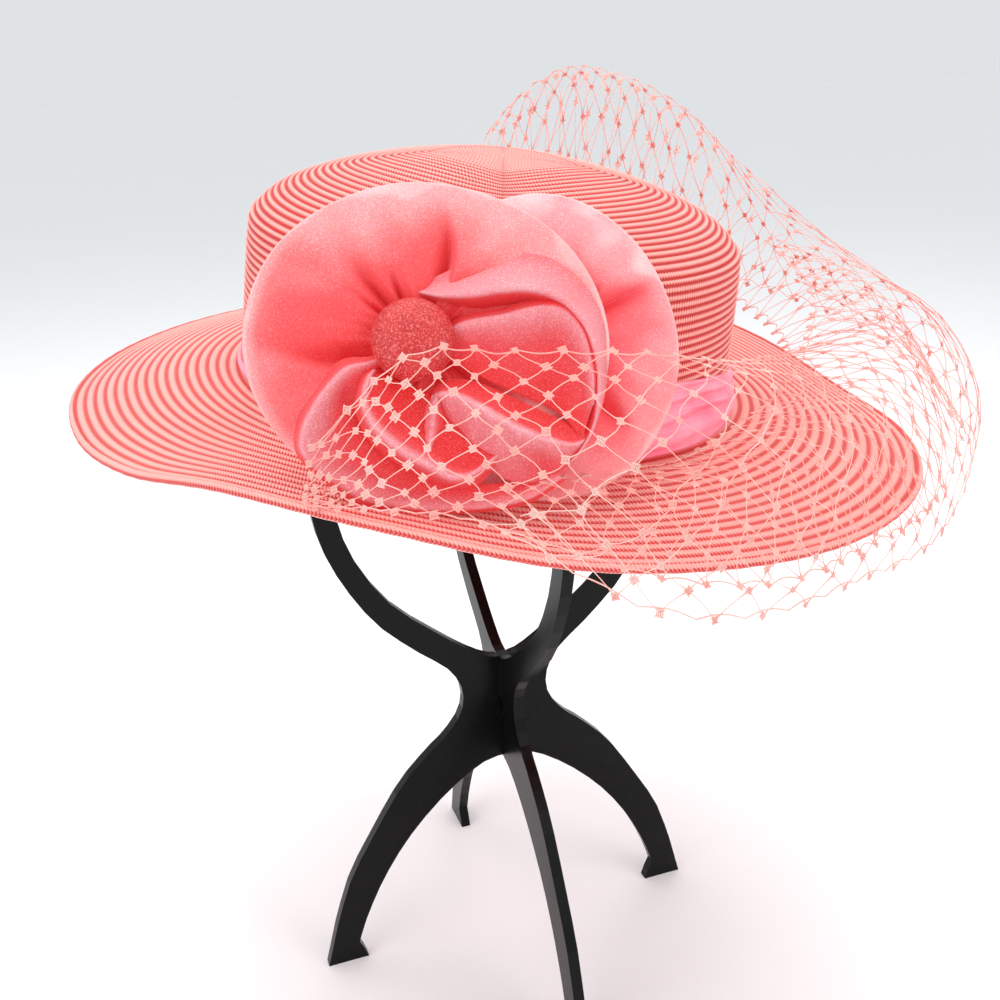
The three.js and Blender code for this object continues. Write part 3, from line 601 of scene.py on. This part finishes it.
def sash_material():
    """Hot pink shot organza for the sash, with fine pleat streaks along it."""
    s = Shader("sash")
    along, across = s.uv()
    place = s.coordinates()
    grain = s.noise(place, 2200.0, 2.0, 0.8)
    cloud = s.noise(place, 45.0, 2.0)
    line = s.node("ShaderNodeCombineXYZ")
    s.link(s.math("MULTIPLY", along, 0.03), line.inputs[0])
    s.link(s.math("MULTIPLY", across, 1.6), line.inputs[1])
    streak = s.noise(line.outputs[0], 1.0, 3.0)
    body = s.mix(s.step(cloud, 0.3, 0.7), srgb(252, 122, 150), srgb(255, 172, 190))
    body = s.mix(s.math("MULTIPLY", s.step(streak, 0.45, 0.7), 0.5), body, srgb(240, 74, 110))
    # Pale specks are painted glints on the shot organza
    body = s.mix(s.math("MULTIPLY", s.step(grain, 0.55, 0.72), 0.45), body, srgb(255, 206, 228))
    s.link(body, s.surface.inputs["Base Color"])
    # The pink emission is a painted glow
    s.set(Roughness=0.4, Emission_Color=srgb(250, 100, 130), Emission_Strength=0.12)
    s.bump(s.math("MULTIPLY_ADD", streak, 1.2, grain), 0.4, 0.0004)
    return s.material


def net_material():
    """Stiff nylon netting thread."""
    s = Shader("netting")
    place = s.coordinates()
    tint = s.noise(place, 30.0, 2.0)
    twist = s.noise(place, 1800.0, 2.0)
    body = s.mix(s.step(tint, 0.3, 0.7), srgb(255, 168, 158), srgb(255, 200, 190))
    s.link(body, s.surface.inputs["Base Color"])
    s.set(Roughness=0.4, Subsurface_Weight=0.2, Subsurface_Scale=0.001)
    s.bump(twist, 0.3, 0.0002)
    return s.material


def plastic_material():
    """Moulded black plastic, glossy with a faint grain and light wear."""
    s = Shader("black plastic")
    place = s.coordinates()
    grain = s.noise(place, 900.0, 3.0)
    smear = s.noise(place, 22.0, 3.0)
    body = s.mix(s.step(smear, 0.35, 0.75), srgb(5, 5, 6), srgb(11, 11, 12))
    s.link(body, s.surface.inputs["Base Color"])
    s.set(Specular_IOR_Level=0.16)
    rough = s.math("MULTIPLY_ADD", smear, 0.18, 0.2)
    s.link(rough, s.surface.inputs["Roughness"])
    s.bump(grain, 0.12, 0.0002)
    return s.material


def floor_material():
    s = Shader("pale floor")
    haze = s.noise(s.coordinates(), 3.0, 3.0)
    s.link(s.mix(haze, srgb(249, 250, 251), srgb(252, 252, 253)), s.surface.inputs["Base Color"])
    s.set(Roughness=0.7, Emission_Color=(1.0, 1.0, 1.0, 1.0), Emission_Strength=0.03)
    return s.material


STRAW = straw_material()
FRONT_ORGANZA = organza_material(
    "organza", srgb(210, 26, 28), srgb(231, 78, 82), srgb(249, 142, 141), srgb(252, 184, 184)
)
BACK_ORGANZA = organza_material(
    "organza behind", srgb(226, 46, 52), srgb(236, 86, 94), srgb(249, 146, 149), srgb(252, 200, 200)
)
# The petals' copy: its light and rim colours lean lilac as painted sheen
PETAL_ORGANZA = organza_material(
    "organza petals", srgb(206, 18, 20), srgb(230, 60, 65), srgb(247, 130, 136), srgb(253, 184, 190)
)
BUTTON_CLOTH = button_material()
SASH = sash_material()
NETTING = net_material()
PLASTIC = plastic_material()


# Straw crown


def ridge_relief(place):
    """Share of the braid's depth at a place counted in ridges: a round ridge, steeper on one side."""
    skewed = place + 0.07 * np.sin(2 * np.pi * place)
    return 0.5 - 0.5 * np.cos(2 * np.pi * skewed)


def oval(angle, inset, height):
    """Points on the crown's oval at a height, inset from its outside."""
    taper = 1 - CROWN_TAPER * np.maximum(height, 0) / CROWN_HEIGHT
    x = (CROWN_HALF_LENGTH * taper - inset) * np.cos(angle)
    y = (CROWN_HALF_WIDTH * taper - inset) * np.sin(angle)
    return np.stack([x, y, np.broadcast_to(height, x.shape)], -1)


def crown_profile(step):
    """Shares, heights and lengths along the crown from its top centre to its foot, step apart."""
    place = np.linspace(0, len(CROWN_SHARES) - 1, 1600)
    keys = np.arange(len(CROWN_SHARES))
    share = np.clip(smooth_table(keys, CROWN_SHARES, place), 0, None)
    height = CROWN_HEIGHT - smooth_table(keys, CROWN_DROPS, place)
    reach = share * MEAN_RADIUS
    length = np.concatenate([[0], np.cumsum(np.hypot(np.diff(reach), np.diff(height)))])
    even = np.append(np.arange(0.7, length[-1] - step / 2, step), length[-1])
    return np.interp(even, length, share), np.interp(even, length, height), even


def crown_surface(step, inset, angles):
    """Points of the crown's wall; its rings turn from a rounded diamond on the top into the oval."""
    share, height, length = crown_profile(step)
    power = 2 / (2 - 0.8 * (1 - smooth_step(0.3, 0.9, share)))
    angle = angles[:, None]
    x = share * np.sign(np.cos(angle)) * np.abs(np.cos(angle)) ** power
    y = share * np.sign(np.sin(angle)) * np.abs(np.sin(angle)) ** power
    radial = np.hypot(x, y)
    level = np.interp(radial, share, height)
    level = np.where(share[None, :] >= 0.999, height[None, :], level)
    taper = 1 - CROWN_TAPER * np.maximum(level, 0) / CROWN_HEIGHT
    points = np.stack(
        [(CROWN_HALF_LENGTH * taper - inset) * x, (CROWN_HALF_WIDTH * taper - inset) * y, level], -1
    )
    return points, share, length


def stitch_counts(girth, place):
    """Whole number of stitches round each ridge, the same for all the rows of points on it."""
    ridge_of = np.floor(place)
    counts = np.zeros(len(girth))
    for ridge in np.unique(ridge_of):
        chosen = ridge_of == ridge
        counts[chosen] = max(round(girth[chosen].mean() / STITCH), 4)
    return counts


def build_crown():
    angles = np.linspace(0, 2 * np.pi, CROWN_COLUMNS, endpoint=False)
    outer, share, length = crown_surface(RIDGE_PITCH / ROWS_PER_RIDGE, 0, angles)
    place = length / RIDGE_PITCH
    relief = CROWN_RIDGE_DEPTH * (ridge_relief(place) * smooth_step(0.24, 0.34, share) - 0.6)
    outer = outer - unit_normals(outer, True) * relief[None, :, None]
    inner, inner_share, inner_length = crown_surface(2 * RIDGE_PITCH, CROWN_WALL, angles)
    inner[..., 2] -= CROWN_WALL * (inner_share < 0.99)
    points = np.concatenate([outer, inner[:, ::-1]], axis=1)
    place = np.concatenate([place, inner_length[::-1] / RIDGE_PITCH])
    girth = 2 * np.pi * MEAN_RADIUS * np.concatenate([share, inner_share[::-1]])
    return grid_piece(
        "woven_crown",
        hat_to_world(points),
        stitch_counts(girth, place),
        place,
        STRAW,
        "crown",
        caps=True,
    )


# Straw brim


def brim_width_and_rise(angle):
    degrees = np.degrees(angle)
    width = smooth_table(BRIM_AZIMUTHS, BRIM_WIDTHS, degrees, loop=True)
    rise = smooth_table(BRIM_AZIMUTHS, BRIM_RISES, degrees, loop=True)
    return width, rise


def brim_surface(angles, shares):
    """Upper face of the brim, from the crown's foot to the edge."""
    angle = angles[:, None]
    width, rise = brim_width_and_rise(angle)
    share = shares[None, :]
    foot_x = (CROWN_HALF_LENGTH - COLLAR_OUTSIDE) * np.cos(angle)
    foot_y = (CROWN_HALF_WIDTH - COLLAR_OUTSIDE) * np.sin(angle)
    edge_x = (CROWN_HALF_LENGTH + width) * np.cos(angle)
    edge_y = (CROWN_HALF_WIDTH + width) * np.sin(angle)
    x = foot_x + (edge_x - foot_x) * share
    y = foot_y + (edge_y - foot_y) * share
    return np.stack([x, y, rise * share**BRIM_DROOP], -1)


def build_brim():
    angles = np.linspace(0, 2 * np.pi, COLUMNS, endpoint=False)
    upper_shares = np.linspace(0, HEM_SHARE, BRIM_RIDGES * BRIM_TOP_ROWS + 1)
    lower_shares = np.linspace(HEM_SHARE, 0, BRIM_RIDGES * BRIM_UNDER_ROWS + 1)
    down = np.array([0, 0, -1.0])
    upper = brim_surface(angles, upper_shares)
    normal = unit_normals(upper, True)
    normal *= np.sign(normal[..., 2:])
    upper_place = upper_shares / HEM_SHARE * BRIM_RIDGES
    upper = upper + normal * (BRIM_RIDGE_DEPTH * (ridge_relief(upper_place) - 0.6))[None, :, None]
    lower = brim_surface(angles, lower_shares)
    lower_place = lower_shares / HEM_SHARE * BRIM_RIDGES
    lower = lower + down * (BRIM_WALL + 0.6 * BRIM_RIDGE_DEPTH * ridge_relief(lower_place))[None, :, None]
    turns = np.radians(np.linspace(120, -135, HEM_ROWS))
    edge = brim_surface(angles, np.array([HEM_SHARE, 1.0]))
    outward = edge[:, 1] - edge[:, 0]
    outward /= np.linalg.norm(outward, axis=-1, keepdims=True)
    middle = edge[:, 1] - outward * HEM_RADIUS + down * 0.75
    wobble = 1 + 0.05 * np.sin(angles * 97)
    roll = (
        middle[:, None]
        + outward[:, None] * (np.cos(turns) * HEM_RADIUS)[None, :, None] * wobble[:, None, None]
        - down * (np.sin(turns) * HEM_RADIUS)[None, :, None] * wobble[:, None, None]
    )
    collar_outer = np.stack([oval(angles, COLLAR_OUTSIDE, h) for h in (COLLAR_HEIGHT, 6.0, 3.0)], 1)
    collar_inner = np.stack([oval(angles, COLLAR_INSIDE, h) for h in (0.0, 3.0, 6.0, COLLAR_HEIGHT)], 1)
    points = np.concatenate([collar_outer, upper, roll, lower, collar_inner], axis=1)
    place = BRIM_START + np.concatenate(
        [
            np.linspace(-2.0, -0.5, 3),
            upper_place,
            BRIM_RIDGES + np.linspace(0.1, 2.0, HEM_ROWS),
            lower_place,
            np.linspace(-0.5, -2.5, 4),
        ]
    )
    girth = 2 * np.pi * np.linalg.norm(points[..., :2], axis=-1).mean(0)
    return grid_piece(
        "woven_brim",
        hat_to_world(points),
        stitch_counts(girth, place),
        place,
        STRAW,
        "brim",
        wrap_rows=True,
    )


# Sash


def build_band():
    angles = np.linspace(0, 2 * np.pi, COLUMNS, endpoint=False)
    share = np.linspace(0, 1, BAND_ROWS)[None, :]
    angle = angles[:, None]
    near = np.cos((angle - math.radians(BAND_WIDEST)) / 2) ** 4
    tall = BAND_HEIGHT + BAND_WIDENING * near**1.6 - 1.2 * np.sin(2 * angle + 0.6)
    drift = 0.35 * np.sin(angle * 2 + 0.4) + 0.22 * np.sin(angle * 5 + 1.3) + 0.12 * np.sin(angle * 11)
    wave = 0.5 - 0.5 * np.cos(2 * np.pi * (share * (1.5 + 2.2 * near) + drift * np.sin(np.pi * share)))
    pinch = 0.86 + 0.14 * np.sin(angle * 13 + 3 * share)
    closing = np.sin(np.pi * np.clip(share, 0.02, 0.98)) ** 0.35
    proud = (2.6 * wave**0.8 * pinch + 1.1) * closing * (0.15 + 0.85 * near**0.5)
    proud = 0.5 + proud + BAND_FLARE * near**3 * (1 - share) ** 2
    height = BAND_LIFT + share * tall
    outer = oval(angle, -proud, height)
    inner_share = share[:, ::-3]
    inner = oval(angle, -0.45, BAND_LIFT + inner_share * tall)
    points = np.concatenate([outer, inner], axis=1)
    across = np.concatenate([share[0], inner_share[0]]) * BAND_STREAKS
    around = np.full(len(across), BAND_GIRTH)
    piece = grid_piece(
        "draped_band", hat_to_world(points), around, across, SASH, "band", wrap_rows=True
    )
    return piece


# Organza rosette


def disc_relief(puffs, creases, degrees, share):
    """Height of a disc's front cloth and how freely it puffs, from 0 in a crease to 1 between them."""
    puffs = np.array(puffs, float)
    height = smooth_table(puffs[:, 0], puffs[:, 1], degrees, loop=True)
    free = np.ones(np.broadcast(degrees, share).shape)
    for at_hole, at_third, at_rim, reach, before, after, depth in creases:
        place = smooth_table([0, 0.35, 1], [at_hole, at_third, at_rim], share)
        away = np.mod(degrees - place + 180, 360) - 180
        width = np.where(away > 0, after, before)
        pull = depth * (1 - smooth_step(reach - 0.3, reach + 0.14, share))
        free = free * (1 - pull * np.exp(-((np.abs(away) / width) ** 1.4)))
    swell = np.sin(np.pi * (0.12 + 0.83 * share)) ** 0.8
    return height * swell * free, free


def build_disc(name, disc, puffs, creases, material, node):
    columns, front_rows, back_rows = 480, 70, 26
    azimuth = np.linspace(0, 2 * np.pi, columns, endpoint=False)[:, None]
    degrees = np.degrees(azimuth)
    front_share = np.linspace(0, 1, front_rows)[None, :] ** 0.92
    back_share = np.linspace(1, 0, back_rows)[None, 1:]
    half_x, half_y = disc["half"]

    def ring(share, relief):
        reach = share * (1 - disc["drawn_in"] * np.exp(-(((degrees - 50) / 30) ** 2)))
        x = (disc["hole"] + (half_x - disc["hole"]) * reach) * np.cos(azimuth)
        y = (disc["hole"] + (half_y - disc["hole"]) * reach) * np.sin(azimuth)
        bend = disc["bend"] * np.where(x > 0, x / half_x, 0) ** 2
        return np.stack([x, y, relief - bend], -1)

    relief, free = disc_relief(puffs, creases, degrees, front_share)
    gather = (1 - front_share) ** 2.4 * (0.5 * np.sin(azimuth * 23 + 1.1) + 0.35 * np.sin(azimuth * 37 + 0.3))
    ripple = (
        0.55 * np.sin(azimuth * 5 + 5 * front_share)
        + 0.4 * np.sin(azimuth * 11 - 7 * front_share + 1)
        + 0.26 * np.sin(azimuth * 19 + 5 * front_share + 2)
    )
    wave = 0.8 * np.sin(azimuth * 3 + 0.7) + 0.45 * np.sin(azimuth * 7 + 2)
    hang = wave * smooth_step(0.75, 1.0, front_share)
    front = ring(front_share, relief + gather + ripple * np.sin(np.pi * front_share) + hang + 0.5)
    behind = wave * smooth_step(0.75, 1.0, back_share) - 0.5 * np.sin(np.pi * back_share)
    back = ring(back_share * 0.995, behind)
    points = np.concatenate([front, back], axis=1) + np.array(disc["centre"])
    # Painted shading of the cloth: lighter on the sides the light falls on, painted shade near the hole and
    # in the creases, lighter on the ripples' crests, and a pale rim band that is partly the doubled hem and
    # partly painted sheen; the back face is painted darker towards the hole
    painted_light = np.array(disc["painted_light"], float)
    painted_light = smooth_table(painted_light[:, 0], painted_light[:, 1], degrees, loop=True)
    painted_light = painted_light + (1 - painted_light) * smooth_step(0.9, 1.0, front_share)
    painted_shading = (0.05 + 0.92 * front_share**0.8) * (0.4 + 0.6 * free) * painted_light
    painted_shading = painted_shading * (1 + 0.13 * ripple) + 0.08 * smooth_step(0.97, 1.0, front_share)
    painted_shading = np.minimum(painted_shading, 0.98)
    painted_shading = np.concatenate([painted_shading, np.broadcast_to(0.2 + 0.75 * back_share, (columns, back_rows - 1))], axis=1)
    piece = grid_piece(
        name,
        rosette_to_world(points),
        np.ones(points.shape[1]),
        painted_shading,
        material,
        node,
        wrap_rows=True,
    )
    return piece


def petal_places(points):
    """Petal points from their tables' layout into the rosette's leaning face."""
    turn = math.radians(PETAL_TURN)
    x, y, z = points[..., 0], points[..., 1], points[..., 2]
    face_x = PETAL_SCALE * (x * math.cos(turn) - y * math.sin(turn)) + PETAL_SHIFT[0]
    face_y = PETAL_SCALE * (x * math.sin(turn) + y * math.cos(turn)) + PETAL_SHIFT[1] - PETAL_DROP * z
    return np.stack([face_x, face_y, z], -1) + HEART_PLACE


def fold_surface(table, painted_shadings, pleat):
    """Middle points of a folded petal and their painted shading, from its foot over the crest to behind it: a
    painted highlight on the crest, painted shade behind it and in the pleat.
    """
    lines = np.array(table, float)
    keys = np.linspace(0, 1, len(table))
    u = np.linspace(0, 1, PETAL_COLUMNS)
    sections = np.stack([smooth_table(keys, lines[:, k], u) for k in range(9)], -1)
    foot, crest, behind = np.split(sections, 3, -1)
    v = np.linspace(0, 1, PETAL_ROWS)
    rise = np.clip(v / PETAL_CREST, 0, 1)[None, :, None]
    fall = np.clip((v - PETAL_CREST) / (1 - PETAL_CREST), 0, 1)[None, :, None]
    points = foot[:, None] + (crest - foot)[:, None] * rise
    points = points + (behind - crest)[:, None] * fall
    points[..., 2] += (crest - foot)[:, None, 2] * (rise[..., 0] ** 1.5 - rise[..., 0])
    points[..., 2] += (behind - crest)[:, None, 2] * (fall[..., 0] ** 0.6 - fall[..., 0])
    for _ in range(8):
        points[:, 1:-1] = (points[:, :-2] + 2 * points[:, 1:-1] + points[:, 2:]) / 4
    points[..., 2] += 0.35 * np.sin(13 * np.pi * u[:, None] + 2.5 * v) * np.sin(np.pi * v)
    # Painted highlight on the crest, painted shade behind it; the pleat below is painted darker as shade
    painted_shading = np.interp(v, [0, PETAL_CREST * 0.8, PETAL_CREST, PETAL_CREST + 0.06, 1], painted_shadings)
    at_foot, at_crest, width, depth = pleat
    away = (u[:, None] - at_foot - (at_crest - at_foot) * v) / width
    pull = np.exp(-(away**2)) * (1 - smooth_step(0.35, 0.68, v))
    points[..., 2] -= depth * pull
    return petal_places(points), painted_shading * (1 - min(depth / 4, 1) * pull)


def build_petal(name, folds, node):
    """Organza petals about the button: each fold is its table of sections, its painted shading and its pleat.
    """
    vertices, faces, uvs = [], [], []
    count = 0
    for table, painted_shadings, pleat in folds:
        middle, painted_shading = fold_surface(table, painted_shadings, pleat)
        points, quads, places = shell_grid(middle, PETAL_THICKNESS, painted_shading)
        vertices.append(points)
        faces.extend(tuple(i + count for i in quad) for quad in quads)
        uvs.extend(places)
        count += len(points)
    points = rosette_to_world(np.concatenate(vertices))
    piece = add_piece(name, points, faces, uvs, PETAL_ORGANZA, node)
    return piece


def build_button():
    columns, rows = 96, 30
    azimuth = np.linspace(0, 2 * np.pi, columns, endpoint=False)[:, None]
    rise = np.linspace(0, 1, rows)[None, :]
    side = BUTTON_HEIGHT * 0.35
    turn = np.pi / 2 * np.clip((rise - 0.25) / 0.75, 0, 1)
    foot = 0.9 + 0.1 * np.sin(np.clip(rise / 0.25, 0, 1) * np.pi / 2)
    radius = np.maximum(BUTTON_RADIUS * foot * np.cos(turn), 0.05)
    height = np.where(rise < 0.25, side * rise / 0.25, side + (BUTTON_HEIGHT - side) * np.sin(turn))
    pucker = 1 + 0.006 * np.sin(azimuth * 24) * (1 - rise)
    points = np.stack(
        [radius * pucker * np.cos(azimuth), radius * pucker * np.sin(azimuth), height + 0 * azimuth], -1
    )
    points = points + HEART_PLACE + BUTTON_PLACE
    return grid_piece(
        "covered_button",
        rosette_to_world(points),
        np.full(rows, 1.0),
        np.linspace(0, 1, rows),
        BUTTON_CLOTH,
        "rosette_button",
        caps=True,
    )


# Veil


def veil_points(layer, u, v):
    """Places on a veil layer's middle surface, u along it from the gather and v down it."""
    sections, spread = layer
    table = np.array(sections, float)
    spread = np.array(spread, float)
    turned = smooth_table(spread[:, 0], spread[:, 1], u)
    degrees = table[0, 0] + (table[-1, 0] - table[0, 0]) * turned
    columns = np.stack(
        [smooth_table(table[:, 0], table[:, k], degrees) for k in range(1, table.shape[1])], -1
    )
    radius = np.empty_like(u)
    height = np.empty_like(u)
    place = np.linspace(0, 1, columns.shape[1] // 2)
    for i in range(len(u)):
        radius[i] = smooth_table(place, columns[i, 0::2], v[i])
        height[i] = smooth_table(place, columns[i, 1::2], v[i])
    turn = np.radians(degrees)
    billow = (1 + np.sin(turn * 13 + 5 * v)) * np.sin(np.pi * v) ** 2 * np.minimum(u * 8, 1)
    sway = 1.1 * np.sin(turn * 9 + 0.5) * np.minimum(u * 8, 1)
    radius = radius + 1.4 * billow
    height = height - VEIL_LOWERING + billow + sway * (1 - 2 * v)
    return np.stack([radius * np.cos(turn), radius * np.sin(turn), height], -1)


def tube(path, radii):
    """Points and quads of a thin tube along a path."""
    path = np.asarray(path)
    tangent = np.gradient(path, axis=0)
    tangent /= np.maximum(np.linalg.norm(tangent, axis=-1, keepdims=True), 1e-9)
    aside = np.cross(tangent, np.array([0.13, 0.21, 0.97]))
    aside /= np.maximum(np.linalg.norm(aside, axis=-1, keepdims=True), 1e-9)
    other = np.cross(tangent, aside)
    sides = STRAND_SIDES
    turns = np.linspace(0, 2 * np.pi, sides, endpoint=False) + np.pi / sides
    ring = (
        aside[:, None] * np.cos(turns)[None, :, None] + other[:, None] * np.sin(turns)[None, :, None]
    ) * radii[:, None, None]
    points = (path[:, None] + ring).reshape(-1, 3)
    faces = []
    for i in range(len(path) - 1):
        for k in range(sides):
            n = (k + 1) % sides
            faces.append((i * sides + k, i * sides + n, (i + 1) * sides + n, (i + 1) * sides + k))
    last = (len(path) - 1) * sides
    faces.append(tuple(range(sides - 1, -1, -1)))
    faces.append(tuple(last + k for k in range(sides)))
    return points, faces


def net_layer(layer, cells, rows, seed, add):
    """Strands, knots and rims of one layer of diamond net, given to add as points and faces."""
    random = np.random.default_rng(seed)
    index = {}
    u, v = [], []
    for row in range(rows + 1):
        for c in range(cells + (0 if row % 2 else 1)):
            index[(row, c)] = len(u)
            shift = random.uniform(-0.16, 0.16, 2)
            at_rim = row in (0, rows)
            u.append(min(max((c + (0.5 if row % 2 else 0) + shift[0]) / cells, 0), 1))
            v.append((row + (0 if at_rim else shift[1])) / rows)
    u, v = np.array(u), np.array(v)
    pairs = []
    for (row, c), start in index.items():
        for step in (-1, 0) if row % 2 == 0 else (0, 1):
            end = index.get((row + 1, c + step))
            if end is not None:
                pairs.append((start, end))
    pairs = np.array(pairs)
    steps = np.linspace(0, 1, len(STRAND_SHARES))
    along = u[pairs[:, :1]] + (u[pairs[:, 1:]] - u[pairs[:, :1]]) * steps
    down = v[pairs[:, :1]] + (v[pairs[:, 1:]] - v[pairs[:, :1]]) * steps
    bow = random.uniform(-0.13, 0.13, len(pairs))[:, None] * np.sin(np.pi * steps) / cells
    lines = veil_points(layer, np.clip(along + bow, 0, 1).ravel(), down.ravel())
    for line in lines.reshape(len(pairs), len(steps), 3):
        add(*tube(line, STRAND_RADIUS * STRAND_SHARES))
    for row in (0, rows):
        rim = np.linspace(0, 1, cells * 6 + 1)
        sag = 0.022 * np.abs(np.sin(np.pi * cells * rim)) * (1 if row == 0 else -1)
        line = veil_points(layer, rim, row / rows + sag)
        add(*tube(line, np.full(len(rim), STRAND_RADIUS * 1.25)))

    # Each knot is four short bars across two longer ones
    knots = veil_points(layer, u, v)
    run = veil_points(layer, np.clip(u + 0.004, 0, 1), v) - veil_points(layer, np.clip(u - 0.004, 0, 1), v)
    fall = veil_points(layer, u, np.clip(v + 0.02, 0, 1)) - veil_points(layer, u, np.clip(v - 0.02, 0, 1))
    for knot, run_here, fall_here in zip(knots, run, fall):
        facing = np.cross(run_here, fall_here)
        facing /= max(np.linalg.norm(facing), 1e-9)
        run_here = run_here / max(np.linalg.norm(run_here), 1e-9)
        turn = random.uniform(-0.8, 0.8)
        lengthways = run_here * math.cos(turn) + np.cross(facing, run_here) * math.sin(turn)
        crossways = np.cross(facing, lengthways)
        size = random.uniform(0.6, 0.95)
        for bar in (-1.05, -0.35, 0.35, 1.05):
            line = [knot + (lengthways * bar + crossways * t) * size for t in (-1.2, 0.0, 1.2)]
            add(*tube(line, np.array([0.22, 0.32, 0.22])))
        for bar in (-1.1, 1.1):
            line = [knot + (crossways * bar + lengthways * t) * size for t in (-1.6, 0.0, 1.6)]
            add(*tube(line, np.array([0.26, 0.34, 0.26])))


def build_veil():
    vertices, faces = [], []
    count = 0

    def add(points, quads):
        nonlocal count
        vertices.append(points)
        faces.extend(tuple(i + count for i in quad) for quad in quads)
        count += len(points)

    for layer, cells, rows, seed in VEIL_LAYERS:
        net_layer(layer, cells, rows, seed, add)
    points = hat_to_world(np.concatenate(vertices))
    loops = sum(len(face) for face in faces)
    return add_piece("net_veil", points, faces, np.zeros((loops, 2)), NETTING, "veil")


# Stand


def dress_stand():
    for name in ("stand_side_plate", "stand_front_plate"):
        plate = bpy.data.objects[name]
        for slot in plate.material_slots:
            slot.material = PLASTIC
        bevel = plate.modifiers.new("rounded edges", "BEVEL")
        bevel.width = PLATE_ROUNDING
        bevel.segments = 3
        bevel.limit_method = "ANGLE"
        bevel.angle_limit = math.radians(40)
        bevel.harden_normals = True


# Camera, light and floor


def add_area_light(name, place, size, power, colour):
    data = bpy.data.lights.new(name, "AREA")
    data.shape = "RECTANGLE"
    data.size = size
    data.size_y = size
    data.energy = power
    data.color = colour
    light = bpy.data.objects.new(name, data)
    bpy.context.scene.collection.objects.link(light)
    light.location = place
    direction = Vector(LIGHTS_AIM) - Vector(place)
    light.rotation_euler = direction.to_track_quat("-Z", "Y").to_euler()


def build_studio():
    camera_data = bpy.data.cameras.new("camera")
    camera_data.lens = CAMERA_LENS
    camera_data.sensor_width = 36.0
    camera = bpy.data.objects.new("camera", camera_data)
    bpy.context.scene.collection.objects.link(camera)
    camera.matrix_world = (
        Matrix.Translation(CAMERA_PLACE)
        @ Matrix.Rotation(math.radians(CAMERA_TILT), 4, "X")
        @ Matrix.Rotation(math.radians(CAMERA_ROLL), 4, "Z")
    )
    bpy.context.scene.camera = camera
    half = FLOOR_HALF
    mesh = bpy.data.meshes.new("floor")
    corners = [(-half, -half, 0), (half, -half, 0), (half, half, 0), (-half, half, 0)]
    mesh.from_pydata(corners, [], [(0, 1, 2, 3)])
    mesh.materials.append(floor_material())
    floor = bpy.data.objects.new("floor", mesh)
    bpy.context.scene.collection.objects.link(floor)
    for light in LIGHTS:
        add_area_light(*light)
    world = bpy.data.worlds.new("studio")
    world.use_nodes = True
    world.node_tree.nodes["Background"].inputs["Color"].default_value = (0.93, 0.955, 0.975, 1.0)
    world.node_tree.nodes["Background"].inputs["Strength"].default_value = 0.8
    bpy.context.scene.world = world
    bpy.context.scene.view_settings.view_transform = "Standard"


build_studio()
build_crown()
build_brim()
build_band()
build_disc(
    "rosette_front_cloth",
    FRONT_DISC,
    FRONT_PUFFS,
    FRONT_CREASES,
    FRONT_ORGANZA,
    "rosette_front_disc",
)
build_disc(
    "rosette_back_cloth",
    BACK_DISC,
    BACK_PUFFS,
    BACK_CREASES,
    BACK_ORGANZA,
    "rosette_back_disc",
)
# Each fold's five painted shadings go from its foot over the painted highlight on its crest to the painted
# shade behind it
build_petal(
    "rosette_right_petal_cloth",
    [
        (UPPER_FOLD, (0.66, 0.8, 0.96, 0.2, 0.0), (0.5, 0.5, 0.1, 0.0)),
        (INNER_SHEET, (0.1, 0.62, 0.9, 0.3, 0.0), (0.62, 0.55, 0.12, 1.0)),
        (HIGHLIGHT_FOLD, (0.5, 0.84, 0.98, 0.3, 0.0), (0.75, 0.6, 0.1, 1.0)),
        (LEFT_FOLD, (0.4, 0.7, 0.92, 0.6, 0.1), (0.5, 0.5, 0.1, 0.0)),
    ],
    "rosette_right_petal",
)
build_petal(
    "rosette_lower_petal_cloth",
    [(LOWER_FOLD, (0.1, 0.7, 0.94, 0.5, 0.2), (0.3, 0.2, 0.08, 1.2))],
    "rosette_lower_petal",
)
build_petal(
    "rosette_cup_petal_cloth",
    [(CUP, (0.2, 0.6, 0.98, 0.12, 0.0), (0.5, 0.5, 0.1, 0.0))],
    "rosette_cup_petal",
)
build_button()
build_veil()
dress_stand()
